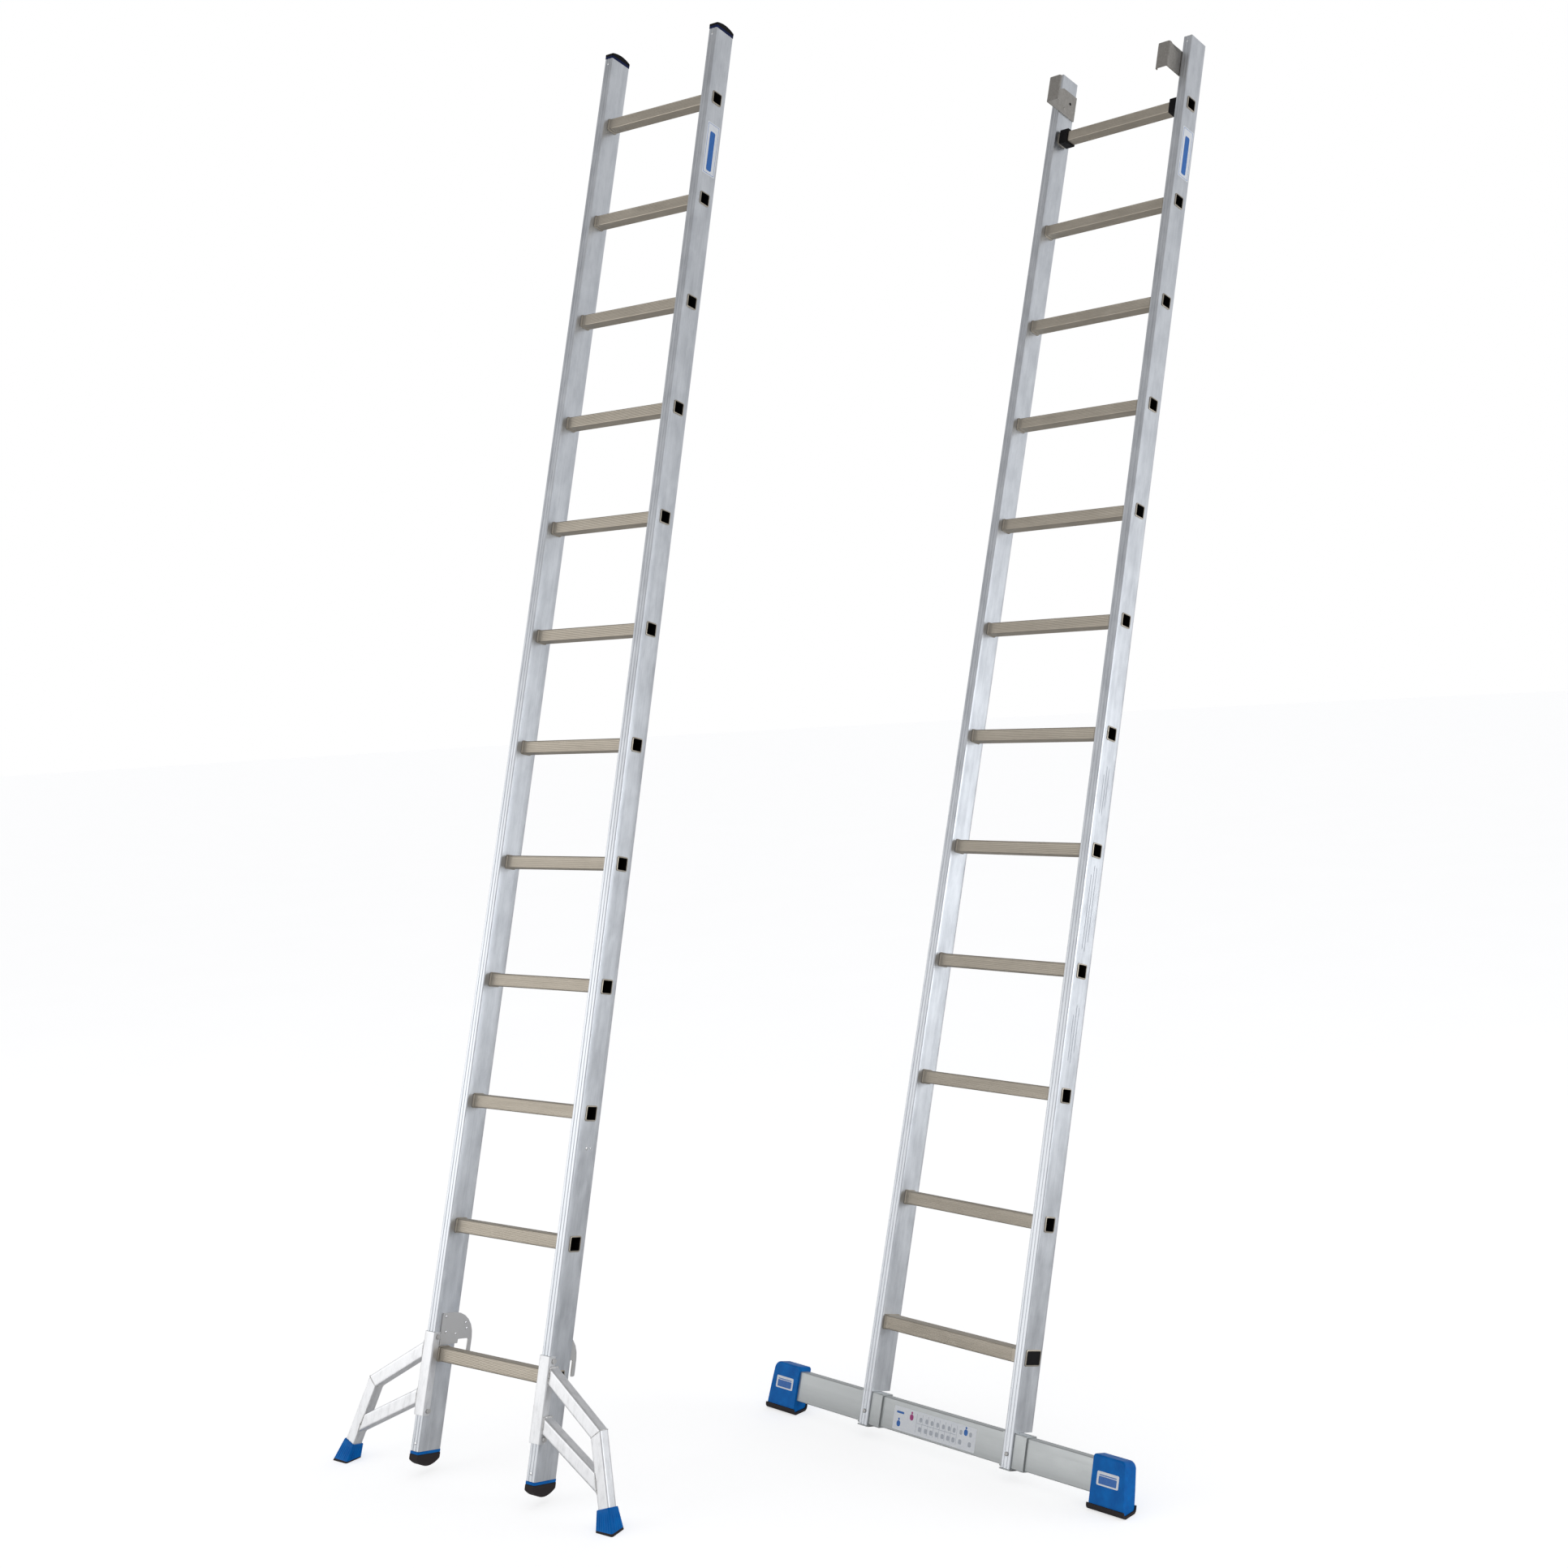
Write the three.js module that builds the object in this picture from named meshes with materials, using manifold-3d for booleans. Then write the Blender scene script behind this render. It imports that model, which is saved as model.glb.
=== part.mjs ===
// Two-section aluminium extension ladder, taken apart: the wide base section stands beside the
// narrow fly section. Millimetres, +Z up, floor at z = 0, origin under the middle of the pair.
//
// Each section is built in its own frame and then leaned back and set down:
//   x runs across the ladder, y from the climbing side to the wall side, z up along the stiles,
//   and the origin is the middle of the bottom rung.
import * as THREE from "three";
import { mergeVertices } from "three/addons/utils/BufferGeometryUtils.js";
import Module from "manifold-3d";

const wasm = await Module();
wasm.setup();

// ---- driving dimensions -------------------------------------------------------------------

const gap = 0.3;                    // air between pieces that touch
const rungCount = 12;
const rungPitch = 280;

const stileWidth = 26;              // across the ladder
const stileDepth = 65;              // from front to back
const stileSideWall = 2;
const stileFaceWall = 3.2;
const stileCorner = 2.5;
const stileInnerCorner = 1;
const grooveWidth = 2.2;
const grooveDepth = 0.9;
const grooveSpacing = 9;            // between the middles of the two front grooves
const stileAboveTopRung = 188;

const rungSize = 30;                // square tube
const rungWall = 1.8;
const rungCorner = 3;
const treadInset = 5.3;             // the base's bottom rung nearly fills the stile's depth
const rimSpread = 2.2;              // how far a rung's rims stand out from its tube
const rimThickness = 1.6;

const baseWidth = 452;              // outside of the stiles
const baseLean = 17;                // degrees back from upright
const baseRungHeight = 235.3;       // middle of the bottom rung above the floor

const sheet = 3;                    // bent steel of the guide hooks and outrigger brackets
const slideClearance = 1.7;         // fly stile to guide hook, each side
const guidePlay = 1;                // front plate to the fly's front face
const guideHeight = 73;
const guideBelowTop = 41;
const guideCover = 7.3;             // how far the front plate passes the fly's stile
const guideLip = 9;
const guideBend = 5;
const guideDip = 9;                 // sag of the side plate's upper edge
const guideDipMargin = 6;

const glideWidth = 27;
const glideWall = 3;
const glideClearance = 1.2;         // glide block to the fly's back face
const glideRise = 4;                // extra thickness on top of the rung

const barHeight = 66;               // crossbar section
const barDepth = 28;
const barWall = 2;
const barTopBelowRung = 156;
const barHalfLength = 512;
const stripThickness = 4;           // front wall of the stile that runs down over the crossbar
const saddleSheet = 2.5;
const saddleOutward = 20;           // saddle's reach on each side of the stile's middle
const saddleInward = 47;
const saddleRibWidth = 11;
const saddleRibRise = 1.6;
const saddleToe = 30;               // width of the toe under the strip
const saddleToeThickness = 2.6;
const toeDrop = 1.2;                // from the saddle's underside to the end of the strip
const toeFront = 1;                 // toe in front of the strip's face
const screwAboveBarBottom = 25;
const screwHead = 4.6;              // radii
const screwShank = 2.4;
const screwHeadHeight = 2.6;
const screwPoint = 3;               // past the crossbar's front wall

const capInner = 440;               // crossbar cap, distances from the ladder's middle
const capTop = 522;
const capFlare = 9;                 // how much wider the cap is at its foot
const capRise = 10;                 // above the crossbar
const capWall = 5;
const capCorner = 13;
const soleThickness = 6;
const soleWrap = 15;                // how far the rubber comes up the cap's sides
const soleSpread = 2.4;
const soleCorner = 9;
const soleOverhang = 4;
const soleBeyond = 1;               // past the cap's outer end

const flyLean = 14;
const flyTurn = 8.2;                // degrees about the upright, seen from above
const flyLeft = 745;                // fly's bottom rung, left of and in front of the base's
const flyForward = 710;
const flyRungHeight = 249.3;
const flyStileBelow = 206;

const topCapRim = 6;                // plastic end caps of the fly's stiles
const topCapEdge = 8;
const topCapDome = 7;
const footShoe = 6;
const footEdge = 12;
const footDome = 14;
const endSpread = 0.8;
const spigotLength = 24;

const rungHookSheet = 4;
const rungHookTop = 88;             // above the middle of the bottom rung
const hookOverRung = 5;             // plate's lower edge above the rung
const notchPlay = 1;                // each side of the rung
const notchHeadroom = 14;
const prongWidth = 10;
const prongBottom = -6;
const hookShoulder = 30;            // level part of the upper edge ends this far before the notch

const bracketTop = 48;
const bracketBottom = -130;
const bracketToRung = 1;            // side flanges to the rung's rim
const bracketBend = 3.4;
const strutWidth = 30;              // rectangular tube of the outriggers
const strutDepth = 25;
const strutWall = 2;
const armRoot = 8;                  // height of the arm's middle at the bracket
const braceRoot = -92;
const kneeOut = 156;                // from the outside of the stile
const kneeHeight = -84;
const legOut = 208;
const legHeight = -238;
const braceJoin = 0.66;             // where the brace meets the leg, as a share of the leg
const outFootLength = 43;
const outFootTop = 35;
const outFootBottom = 52;
const outFootDepthTop = 30;
const outFootDepthBottom = 40;
const legSocket = 18;

const boltShank = 3;                // radii
const boltHead = 6;
const boltHeadHeight = 4.5;
const boltInset = 8.5;              // from the stile's front face
const upperBolt = 38;
const lowerBolt = -120;

const finishes = {
  profile: { color: 0xb7babd, roughness: 0.42, metalness: 0.85 },
  rung: { color: 0xa2988a, roughness: 0.5, metalness: 0.75 },
  steel: { color: 0x9c968d, roughness: 0.45, metalness: 0.8 },
  bright: { color: 0xc6c7c6, roughness: 0.35, metalness: 0.9 },
  bluePlastic: { color: 0x15509e, roughness: 0.5, metalness: 0 },
  rubber: { color: 0x1b1618, roughness: 0.85, metalness: 0 },
};

// ---- derived sizes ------------------------------------------------------------------------

const topRung = (rungCount - 1) * rungPitch;
const stileTop = topRung + stileAboveTopRung;
const halfDepth = stileDepth / 2;
const baseInside = baseWidth / 2 - stileWidth;
const flyOutside = baseInside - gap - sheet - slideClearance;
const baseMiddle = baseWidth / 2 - stileWidth / 2;
const flyMiddle = flyOutside - stileWidth / 2;
const barTop = -barTopBelowRung;
const barBottom = barTop - barHeight;
const barFront = -halfDepth + stripThickness + gap + saddleSheet + gap;
const barBack = barFront + barDepth;
const saddleTop = barTop + gap + saddleSheet;
const treadDepth = stileDepth - 2 * (stileFaceWall + treadInset);
const nestOffset = halfDepth + rungSize / 2 + gap + glideWall + glideClearance;
const guideReach = sheet + slideClearance + stileWidth + guideCover;
const notchWidth = rungSize + 2 * notchPlay;
const rungHookFront = halfDepth - boltInset - boltHead - gap;
const rungHookFoot = rungSize / 2 + hookOverRung;
const notchTop = rungSize / 2 + notchHeadroom;
const baseStileBelow = barTopBelowRung + barHeight + gap + saddleSheet + toeDrop;
const over = 1;                     // how far a cutting shape runs past the faces it cuts
const weldable = 1e-4;              // corners closer than this are one corner
const domeSteps = 10;
const radians = THREE.MathUtils.degToRad;

// ---- geometry helpers ---------------------------------------------------------------------

function toSolid(geometry) {
  const bare = geometry.clone();
  bare.deleteAttribute("normal");
  bare.deleteAttribute("uv");
  const merged = mergeVertices(bare, weldable);
  return new wasm.Manifold(new wasm.Mesh({
    numProp: 3,
    vertProperties: new Float32Array(merged.attributes.position.array),
    triVerts: new Uint32Array(merged.index.array),
  }));
}

function toGeometry(solid) {
  const mesh = solid.getMesh();
  const geometry = new THREE.BufferGeometry();
  geometry.setAttribute("position", new THREE.BufferAttribute(mesh.vertProperties, 3));
  geometry.setIndex(new THREE.BufferAttribute(mesh.triVerts, 1));
  geometry.computeVertexNormals();
  return geometry;
}

function join(first, ...others) {
  return toGeometry(others.reduce((solid, other) => solid.add(toSolid(other)), toSolid(first)));
}

function cut(first, ...tools) {
  return toGeometry(tools.reduce((solid, tool) => solid.subtract(toSolid(tool)), toSolid(first)));
}

function common(first, second) {
  return toGeometry(toSolid(first).intersect(toSolid(second)));
}

// A closed outline through corners [a, b, radius]; a corner with a radius is rounded off.
function outline(corners, flip = false) {
  const at = (index) => {
    const [a, b] = corners[(index + corners.length) % corners.length];
    return flip ? new THREE.Vector2(b, a) : new THREE.Vector2(a, b);
  };
  const shape = new THREE.Shape();
  corners.forEach(([, , radius = 0], index) => {
    const corner = at(index);
    const before = at(index - 1).sub(corner);
    const after = at(index + 1).sub(corner);
    const enter = corner.clone().addScaledVector(before.normalize(), radius);
    const leave = corner.clone().addScaledVector(after.normalize(), radius);
    if (index === 0) shape.moveTo(enter.x, enter.y);
    else shape.lineTo(enter.x, enter.y);
    if (radius > 0) shape.quadraticCurveTo(corner.x, corner.y, leave.x, leave.y);
  });
  shape.closePath();
  return shape;
}

// A straight bar of the given outline along one axis, from low to high. The outline's
// corners are [y, z] along x, [x, z] along y and [x, y] along z.
function prism(axis, corners, low, high, curveSegments = 3) {
  const shape = outline(corners, axis === "y");
  const geometry = new THREE.ExtrudeGeometry(shape, {
    depth: high - low, bevelEnabled: false, curveSegments,
  });
  geometry.translate(0, 0, low);
  const turn = new THREE.Matrix4();
  if (axis === "x") turn.set(0, 0, 1, 0, 1, 0, 0, 0, 0, 1, 0, 0, 0, 0, 0, 1);
  if (axis === "y") turn.set(0, 1, 0, 0, 0, 0, 1, 0, 1, 0, 0, 0, 0, 0, 0, 1);
  geometry.applyMatrix4(turn);
  return geometry;
}

function rectangle(a0, a1, b0, b1, radius = 0) {
  return [[a0, b0, radius], [a1, b0, radius], [a1, b1, radius], [a0, b1, radius]];
}

function box(x0, x1, y0, y1, z0, z1) {
  const low = [Math.min(x0, x1), y0, z0];
  const high = [Math.max(x0, x1), y1, z1];
  const size = high.map((value, axis) => value - low[axis]);
  const middle = high.map((value, axis) => (value + low[axis]) / 2);
  return new THREE.BoxGeometry(...size).translate(...middle);
}

// A rod along x or y through the given middle.
function rod(axis, radius, low, high, across, height, sides = 12) {
  const geometry = new THREE.CylinderGeometry(radius, radius, high - low, sides);
  if (axis === "x") geometry.rotateZ(Math.PI / 2);
  const along = (low + high) / 2;
  const place = axis === "x" ? [along, across, height] : [across, along, height];
  return geometry.translate(...place);
}

// Height, in a section's own frame, at which the floor passes under the depth y.
function floorAt(y, lean, rungHeight) {
  return (y * Math.sin(radians(lean)) - rungHeight) / Math.cos(radians(lean));
}

function piece(name, geometry, finish) {
  const mesh = new THREE.Mesh(geometry, new THREE.MeshStandardMaterial(finishes[finish]));
  mesh.name = name;
  return mesh;
}

const sideName = (side) => (side < 0 ? "left" : "right");
const number = (index) => String(index + 1).padStart(2, "0");

// ---- stiles and rungs ---------------------------------------------------------------------

// Hollow extrusion with two shallow grooves down its front face.
function stileProfile(middle, bottom, top) {
  const left = middle - stileWidth / 2;
  const right = middle + stileWidth / 2;
  const groove = (centre) => [
    [centre + grooveWidth / 2, -halfDepth],
    [centre + grooveWidth / 2, -halfDepth + grooveDepth],
    [centre - grooveWidth / 2, -halfDepth + grooveDepth],
    [centre - grooveWidth / 2, -halfDepth],
  ];
  const outside = [
    [left, -halfDepth, stileCorner],
    [left, halfDepth, stileCorner],
    [right, halfDepth, stileCorner],
    [right, -halfDepth, stileCorner],
    ...groove(middle + grooveSpacing / 2),
    ...groove(middle - grooveSpacing / 2),
  ];
  const inside = rectangle(left + stileSideWall, right - stileSideWall,
    -halfDepth + stileFaceWall, halfDepth - stileFaceWall, stileInnerCorner);
  return cut(prism("z", outside, bottom, top, 1), prism("z", inside, bottom - over, top + over, 1));
}

function rungHole(middle, depth, height) {
  const reach = stileWidth;
  const halfHole = rungSize / 2 + gap;
  const corners = rectangle(-depth / 2 - gap, depth / 2 + gap, -halfHole, halfHole, rungCorner);
  return prism("x", corners, middle - reach, middle + reach, 1).translate(0, 0, height);
}

// Square tube through both stiles, with a flared rim outside each stile.
function rung(outside, depth) {
  const end = outside + gap + rimThickness;
  const section = (grow) => rectangle(-depth / 2 - grow, depth / 2 + grow,
    -rungSize / 2 - grow, rungSize / 2 + grow, rungCorner);
  const rim = (low, high) => prism("x", section(rimSpread), low, high, 1);
  const solid = join(prism("x", section(0), -end, end, 1),
    rim(outside + gap, end), rim(-end, -outside - gap));
  return cut(solid, prism("x", section(-rungWall), -end - over, end + over, 1));
}

const rungDepth = (section, index) => (section === "base" && index === 0 ? treadDepth : rungSize);

function rungs(section, outside) {
  return Array.from({ length: rungCount }, (unused, index) => {
    const mesh = piece(`${section}_rung_${number(index)}`, rung(outside, rungDepth(section, index)), "rung");
    mesh.position.z = index * rungPitch;
    return mesh;
  });
}

function rungHoles(section, middle) {
  return Array.from({ length: rungCount }, (unused, index) =>
    rungHole(middle, rungDepth(section, index), index * rungPitch));
}

// ---- base section -------------------------------------------------------------------------

// Below the crossbar's top only the stile's front wall is left, as a strip in front of the bar.
function baseStile(side) {
  const middle = side * baseMiddle;
  const screwHeight = barBottom + screwAboveBarBottom;
  const geometry = cut(stileProfile(middle, -baseStileBelow, stileTop),
    ...rungHoles("base", middle),
    box(middle - stileWidth, middle + stileWidth, -halfDepth + stripThickness, stileDepth,
      -baseStileBelow - over, saddleTop + gap),
    rod("y", screwShank + gap, -stileDepth, 0, middle, screwHeight));
  return piece(`base_stile_${sideName(side)}`, geometry, "profile");
}

// Bent sheet on the inside of each stile: it reaches forward round the fly's stile.
function guideHook(side) {
  const plate = side * (baseInside - gap);
  const front = -(nestOffset + halfDepth + guidePlay + sheet);
  const inward = plate - side * guideReach;
  const thick = side * sheet;
  const section = [
    [plate, halfDepth],
    [plate, front, guideBend],
    [inward, front, guideBend],
    [inward, front + guideLip],
    [inward + thick, front + guideLip],
    [inward + thick, front + sheet, guideBend - sheet],
    [plate - thick, front + sheet, guideBend - sheet],
    [plate - thick, halfDepth],
  ];
  const high = stileTop - guideBelowTop;
  const dipStart = front + sheet + guideDipMargin;
  const dipEnd = -halfDepth + guideDipMargin;
  const dip = [
    [dipStart, high + over],
    [dipStart, high],
    [(dipStart + dipEnd) / 2, high - 2 * guideDip, 2 * guideDip],
    [dipEnd, high],
    [dipEnd, high + over],
  ];
  const edge = Math.min(plate, plate - thick) - over;
  const sag = prism("x", dip, edge, edge + sheet + 2 * over, 6);
  return piece(`guide_hook_${sideName(side)}`,
    cut(prism("z", section, high - guideHeight, high, 4), sag), "steel");
}

// Plastic block round the top rung, for the back of the fly's stile to slide on.
function glideBlock(side) {
  const middle = side * flyMiddle;
  const inner = rungSize / 2 + gap;
  const outer = inner + glideWall;
  const ring = prism("x", rectangle(-outer, outer, -outer, outer + glideRise, 2),
    middle - glideWidth / 2, middle + glideWidth / 2, 2);
  const bore = prism("x", rectangle(-inner, inner, -inner, inner, rungCorner),
    middle - glideWidth, middle + glideWidth, 1);
  return piece(`glide_block_${sideName(side)}`,
    cut(ring, bore).translate(0, 0, topRung), "rubber");
}

function crossbar() {
  const tube = prism("x", rectangle(barFront, barBack, barBottom, barTop, 1.5),
    -barHalfLength, barHalfLength, 2);
  const bore = box(-barHalfLength - over, barHalfLength + over, barFront + barWall, barBack - barWall,
    barBottom + barWall, barTop - barWall);
  const screwHoles = [-1, 1].map((side) => rod("y", screwShank + gap, barFront - over,
    barFront + barWall + over, side * baseMiddle, barBottom + screwAboveBarBottom));
  return piece("crossbar", cut(tube, bore, ...screwHoles), "profile");
}

// Sleeve round the crossbar behind the stile's strip, with a raised rib and a toe under the strip.
function crossbarSaddle(side) {
  const middle = side * baseMiddle;
  const low = middle - saddleOutward;
  const high = middle + saddleInward;
  const inner = [barFront - gap, barBack + gap, barBottom - gap, barTop + gap];
  const outer = [inner[0] - saddleSheet, inner[1] + saddleSheet,
    inner[2] - saddleSheet, inner[3] + saddleSheet];
  const rib = box(high - saddleRibWidth, high, outer[0] - saddleRibRise, outer[1], outer[2], outer[3]);
  const toeTop = -baseStileBelow - gap;
  const toe = box(middle - saddleToe / 2, middle + saddleToe / 2, -halfDepth - toeFront, outer[1],
    toeTop - saddleToeThickness, toeTop);
  const heel = box(middle - saddleToe / 2, middle + saddleToe / 2, outer[0], outer[1],
    toeTop - saddleToeThickness, outer[3]);
  const body = join(prism("x", rectangle(...outer, 1.5), low, high, 2), rib, toe, heel);
  const geometry = cut(body, box(low - over, high + over, ...inner),
    rod("y", screwShank + gap, -stileDepth, barFront + over, middle, barBottom + screwAboveBarBottom));
  return piece(`crossbar_saddle_${sideName(side)}`, geometry, "profile");
}

// Pan-head screw through the strip, the saddle and the crossbar's front wall.
function crossbarScrew(side) {
  const middle = side * baseMiddle;
  const height = barBottom + screwAboveBarBottom;
  const face = -halfDepth - gap;
  const head = rod("y", screwHead, face - screwHeadHeight, face, middle, height, 16);
  const shank = rod("y", screwShank, face - over, barFront + barWall + screwPoint, middle, height);
  return piece(`crossbar_screw_${sideName(side)}`, join(head, shank), "bright");
}

const barFloor = (y) => floorAt(y, baseLean, baseRungHeight);

// Outline across the crossbar, as [y, z]: upright sides and a foot parallel to the floor.
// high gives the height of the open end at a depth y.
function capOutline(grow, foot, high, radius) {
  const front = barFront - gap - capWall - grow;
  const back = barBack + gap + capWall + grow;
  return [
    [front, high(front)],
    [front, barFloor(front) + foot, radius],
    [back, barFloor(back) + foot, radius],
    [back, high(back)],
  ];
}

function crossbarCap(side) {
  const top = barTop + capRise;
  const low = barFloor(-stileDepth);
  const face = [
    [side * capInner, low],
    [side * (capTop + capFlare), low],
    [side * capTop, top, capCorner],
    [side * capInner, top, 2],
  ];
  const block = common(prism("y", face, -stileDepth, stileDepth, 4),
    prism("x", capOutline(0, soleThickness + gap, () => top + over, soleCorner - soleSpread),
      -2 * capTop, 2 * capTop));
  const pocket = box(side * (capInner - over), side * (barHalfLength + gap), barFront - gap,
    barBack + gap, barBottom - gap, barTop + gap);
  return piece(`crossbar_cap_${sideName(side)}`, cut(block, pocket), "bluePlastic");
}

// Rubber channel wrapped round the cap's foot.
function crossbarSole(side) {
  const wrapTop = (y) => barFloor(y) + soleWrap;
  const ends = [side * (capInner - soleOverhang), side * (capTop + capFlare + soleBeyond)];
  const low = Math.min(...ends);
  const far = Math.max(...ends);
  const channel = cut(
    prism("x", capOutline(soleSpread + gap, 0, wrapTop, soleCorner), low, far, 4),
    prism("x", capOutline(gap, soleThickness, (y) => wrapTop(y) + over, soleCorner - soleSpread),
      low - over, far + over));
  return piece(`crossbar_sole_${sideName(side)}`, channel, "rubber");
}

// ---- fly section --------------------------------------------------------------------------

function boltHole(middle, height) {
  return rod("x", boltShank + gap, middle - stileWidth, middle + stileWidth,
    -halfDepth + boltInset, height);
}

function flyStile(side) {
  const middle = side * flyMiddle;
  const geometry = cut(stileProfile(middle, -flyStileBelow, stileTop),
    ...rungHoles("fly", middle), boltHole(middle, upperBolt), boltHole(middle, lowerBolt));
  return piece(`fly_stile_${sideName(side)}`, geometry, "profile");
}

// A plug inside the stile's end.
function spigot(middle, z0, z1) {
  const halfWidth = stileWidth / 2 - stileSideWall - gap;
  const half = halfDepth - stileFaceWall - gap;
  return prism("z", rectangle(middle - halfWidth, middle + halfWidth, -half, half, stileInnerCorner),
    z0, z1, 1);
}

// Domed outline across a stile's end, as [y, z], rising (or falling) from base by edge and dome.
function domeOutline(base, edge, dome) {
  const reach = halfDepth + endSpread;
  const arc = Array.from({ length: domeSteps + 1 }, (unused, index) => {
    const share = 1 - (2 * index) / domeSteps;
    return [reach * share, base + edge + dome * (1 - share * share)];
  });
  return [[-reach, base], [reach, base], ...arc];
}

function topCap(side) {
  const middle = side * flyMiddle;
  const half = stileWidth / 2 + endSpread;
  const base = stileTop + gap;
  const dome = prism("x", domeOutline(base, topCapEdge + topCapRim, topCapDome),
    middle - half, middle + half);
  return piece(`top_cap_${sideName(side)}`,
    join(dome, spigot(middle, base - spigotLength, base + over)), "bluePlastic");
}

function footShoePiece(side) {
  const middle = side * flyMiddle;
  const half = stileWidth / 2 + endSpread;
  const high = -flyStileBelow - gap;
  const band = box(middle - half, middle + half, -halfDepth - endSpread, halfDepth + endSpread,
    high - footShoe, high);
  return piece(`fly_shoe_${sideName(side)}`,
    join(band, spigot(middle, high - over, high + spigotLength)), "bluePlastic");
}

function footSole(side) {
  const middle = side * flyMiddle;
  const half = stileWidth / 2 + endSpread;
  const high = -flyStileBelow - footShoe - 2 * gap;
  return piece(`fly_sole_${sideName(side)}`,
    prism("x", domeOutline(high, -footEdge, -footDome), middle - half, middle + half), "rubber");
}

// Riveted plate inside the stile; its notch drops over a rung of the base.
function rungHook(side) {
  const face = side * (flyOutside - stileWidth - gap);
  const notchBack = nestOffset + notchWidth / 2;
  const notchFront = nestOffset - notchWidth / 2;
  const back = notchBack + prongWidth;
  const corners = [
    [-rungHookFront, rungHookFoot, 2],
    [notchFront, rungHookFoot, 2],
    [notchFront, notchTop, 2],
    [notchBack, notchTop, 3],
    [notchBack, prongBottom, 2],
    [back, prongBottom, 4],
    [back, rungHookTop - notchWidth, prongWidth],
    [back - prongWidth, rungHookTop - prongWidth, prongWidth],
    [nestOffset - hookShoulder, rungHookTop, prongWidth],
    [-rungHookFront, rungHookTop, 4],
  ];
  const inner = face - side * rungHookSheet;
  return piece(`rung_hook_${sideName(side)}`,
    prism("x", corners, Math.min(face, inner), Math.max(face, inner), 5), "bright");
}

// ---- outriggers ---------------------------------------------------------------------------

const bracketFront = -halfDepth - gap - sheet;
const bracketBack = -(rungSize / 2 + rimSpread + bracketToRung);
const bracketOutside = flyOutside + gap + sheet;
const strutFront = -halfDepth;
const strutBack = strutFront + strutDepth;

// Channel round the stile's front edge.
function outriggerBracket(side) {
  const out = side * bracketOutside;
  const inner = side * (flyOutside - stileWidth - gap - sheet);
  const thick = side * sheet;
  const section = [
    [out, bracketBack],
    [out, bracketFront, bracketBend],
    [inner, bracketFront, bracketBend],
    [inner, bracketBack],
    [inner + thick, bracketBack],
    [inner + thick, bracketFront + sheet],
    [out - thick, bracketFront + sheet],
    [out - thick, bracketBack],
  ];
  const middle = side * flyMiddle;
  return piece(`outrigger_bracket_${sideName(side)}`,
    cut(prism("z", section, bracketBottom, bracketTop),
      boltHole(middle, upperBolt), boltHole(middle, lowerBolt)), "profile");
}

// Joints of the outrigger's centre line, as [x, z].
function outriggerPath(side) {
  const root = side * (bracketOutside + gap);
  const knee = [side * (flyOutside + kneeOut), kneeHeight];
  const end = [side * (flyOutside + legOut), legHeight];
  const meet = knee.map((value, axis) => value + braceJoin * (end[axis] - value));
  return { arm: [root, armRoot], brace: [root, braceRoot], knee, end, meet };
}

// Four corners of a straight bar of the given width from one point to another, pushed out at
// its ends by the two lengths. An upright end is cut parallel to z.
function barCorners(from, to, width, startBy, endBy, uprightStart) {
  const start = new THREE.Vector2(...from);
  const end = new THREE.Vector2(...to);
  const along = end.clone().sub(start).normalize();
  const across = new THREE.Vector2(-along.y, along.x).multiplyScalar(width / 2);
  const slide = (point, offset) => {
    const drift = uprightStart && point === start ? -offset.x / along.x : 0;
    return point.clone().add(offset).addScaledVector(along, drift);
  };
  const back = across.clone().negate();
  const corners = [slide(start, across), slide(start, back), slide(end, back), slide(end, across)];
  corners[0].addScaledVector(along, -startBy);
  corners[1].addScaledVector(along, -startBy);
  corners[2].addScaledVector(along, endBy);
  corners[3].addScaledVector(along, endBy);
  return corners.map((point) => [point.x, point.y]);
}

// Mitred outline of the arm and the leg together, for a tube of the given width.
function elbowCorners(path, width, rootBy, endBy) {
  const arm = barCorners(path.arm, path.knee, width, rootBy, 0, true);
  const leg = barCorners(path.knee, path.end, width, 0, endBy, false);
  const mitre = (p, q, r, s) => {
    const first = new THREE.Vector2(q[0] - p[0], q[1] - p[1]);
    const second = new THREE.Vector2(s[0] - r[0], s[1] - r[1]);
    const reach = new THREE.Vector2(r[0] - p[0], r[1] - p[1]).cross(second) / first.cross(second);
    return [p[0] + first.x * reach, p[1] + first.y * reach];
  };
  return [arm[0], mitre(arm[0], arm[3], leg[0], leg[3]), leg[3], leg[2],
    mitre(arm[1], arm[2], leg[1], leg[2]), arm[1]];
}

// Welded frame of rectangular tube: arm and leg in one mitred run, and a brace below.
function outriggerFrame(side) {
  const path = outriggerPath(side);
  const inner = strutWidth - 2 * strutWall;
  const bar = (corners, inset) => prism("y", corners, strutFront + inset, strutBack - inset);
  const outer = join(bar(elbowCorners(path, strutWidth, 0, 0), 0),
    bar(barCorners(path.brace, path.meet, strutWidth, 0, 0, true), 0));
  const geometry = cut(outer,
    bar(elbowCorners(path, inner, -strutWall, over), strutWall),
    bar(barCorners(path.brace, path.meet, inner, -strutWall, 0, true), strutWall));
  return piece(`outrigger_frame_${sideName(side)}`, geometry, "profile");
}

const outriggerFloor = (y) => floorAt(y, flyLean, flyRungHeight);

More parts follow.
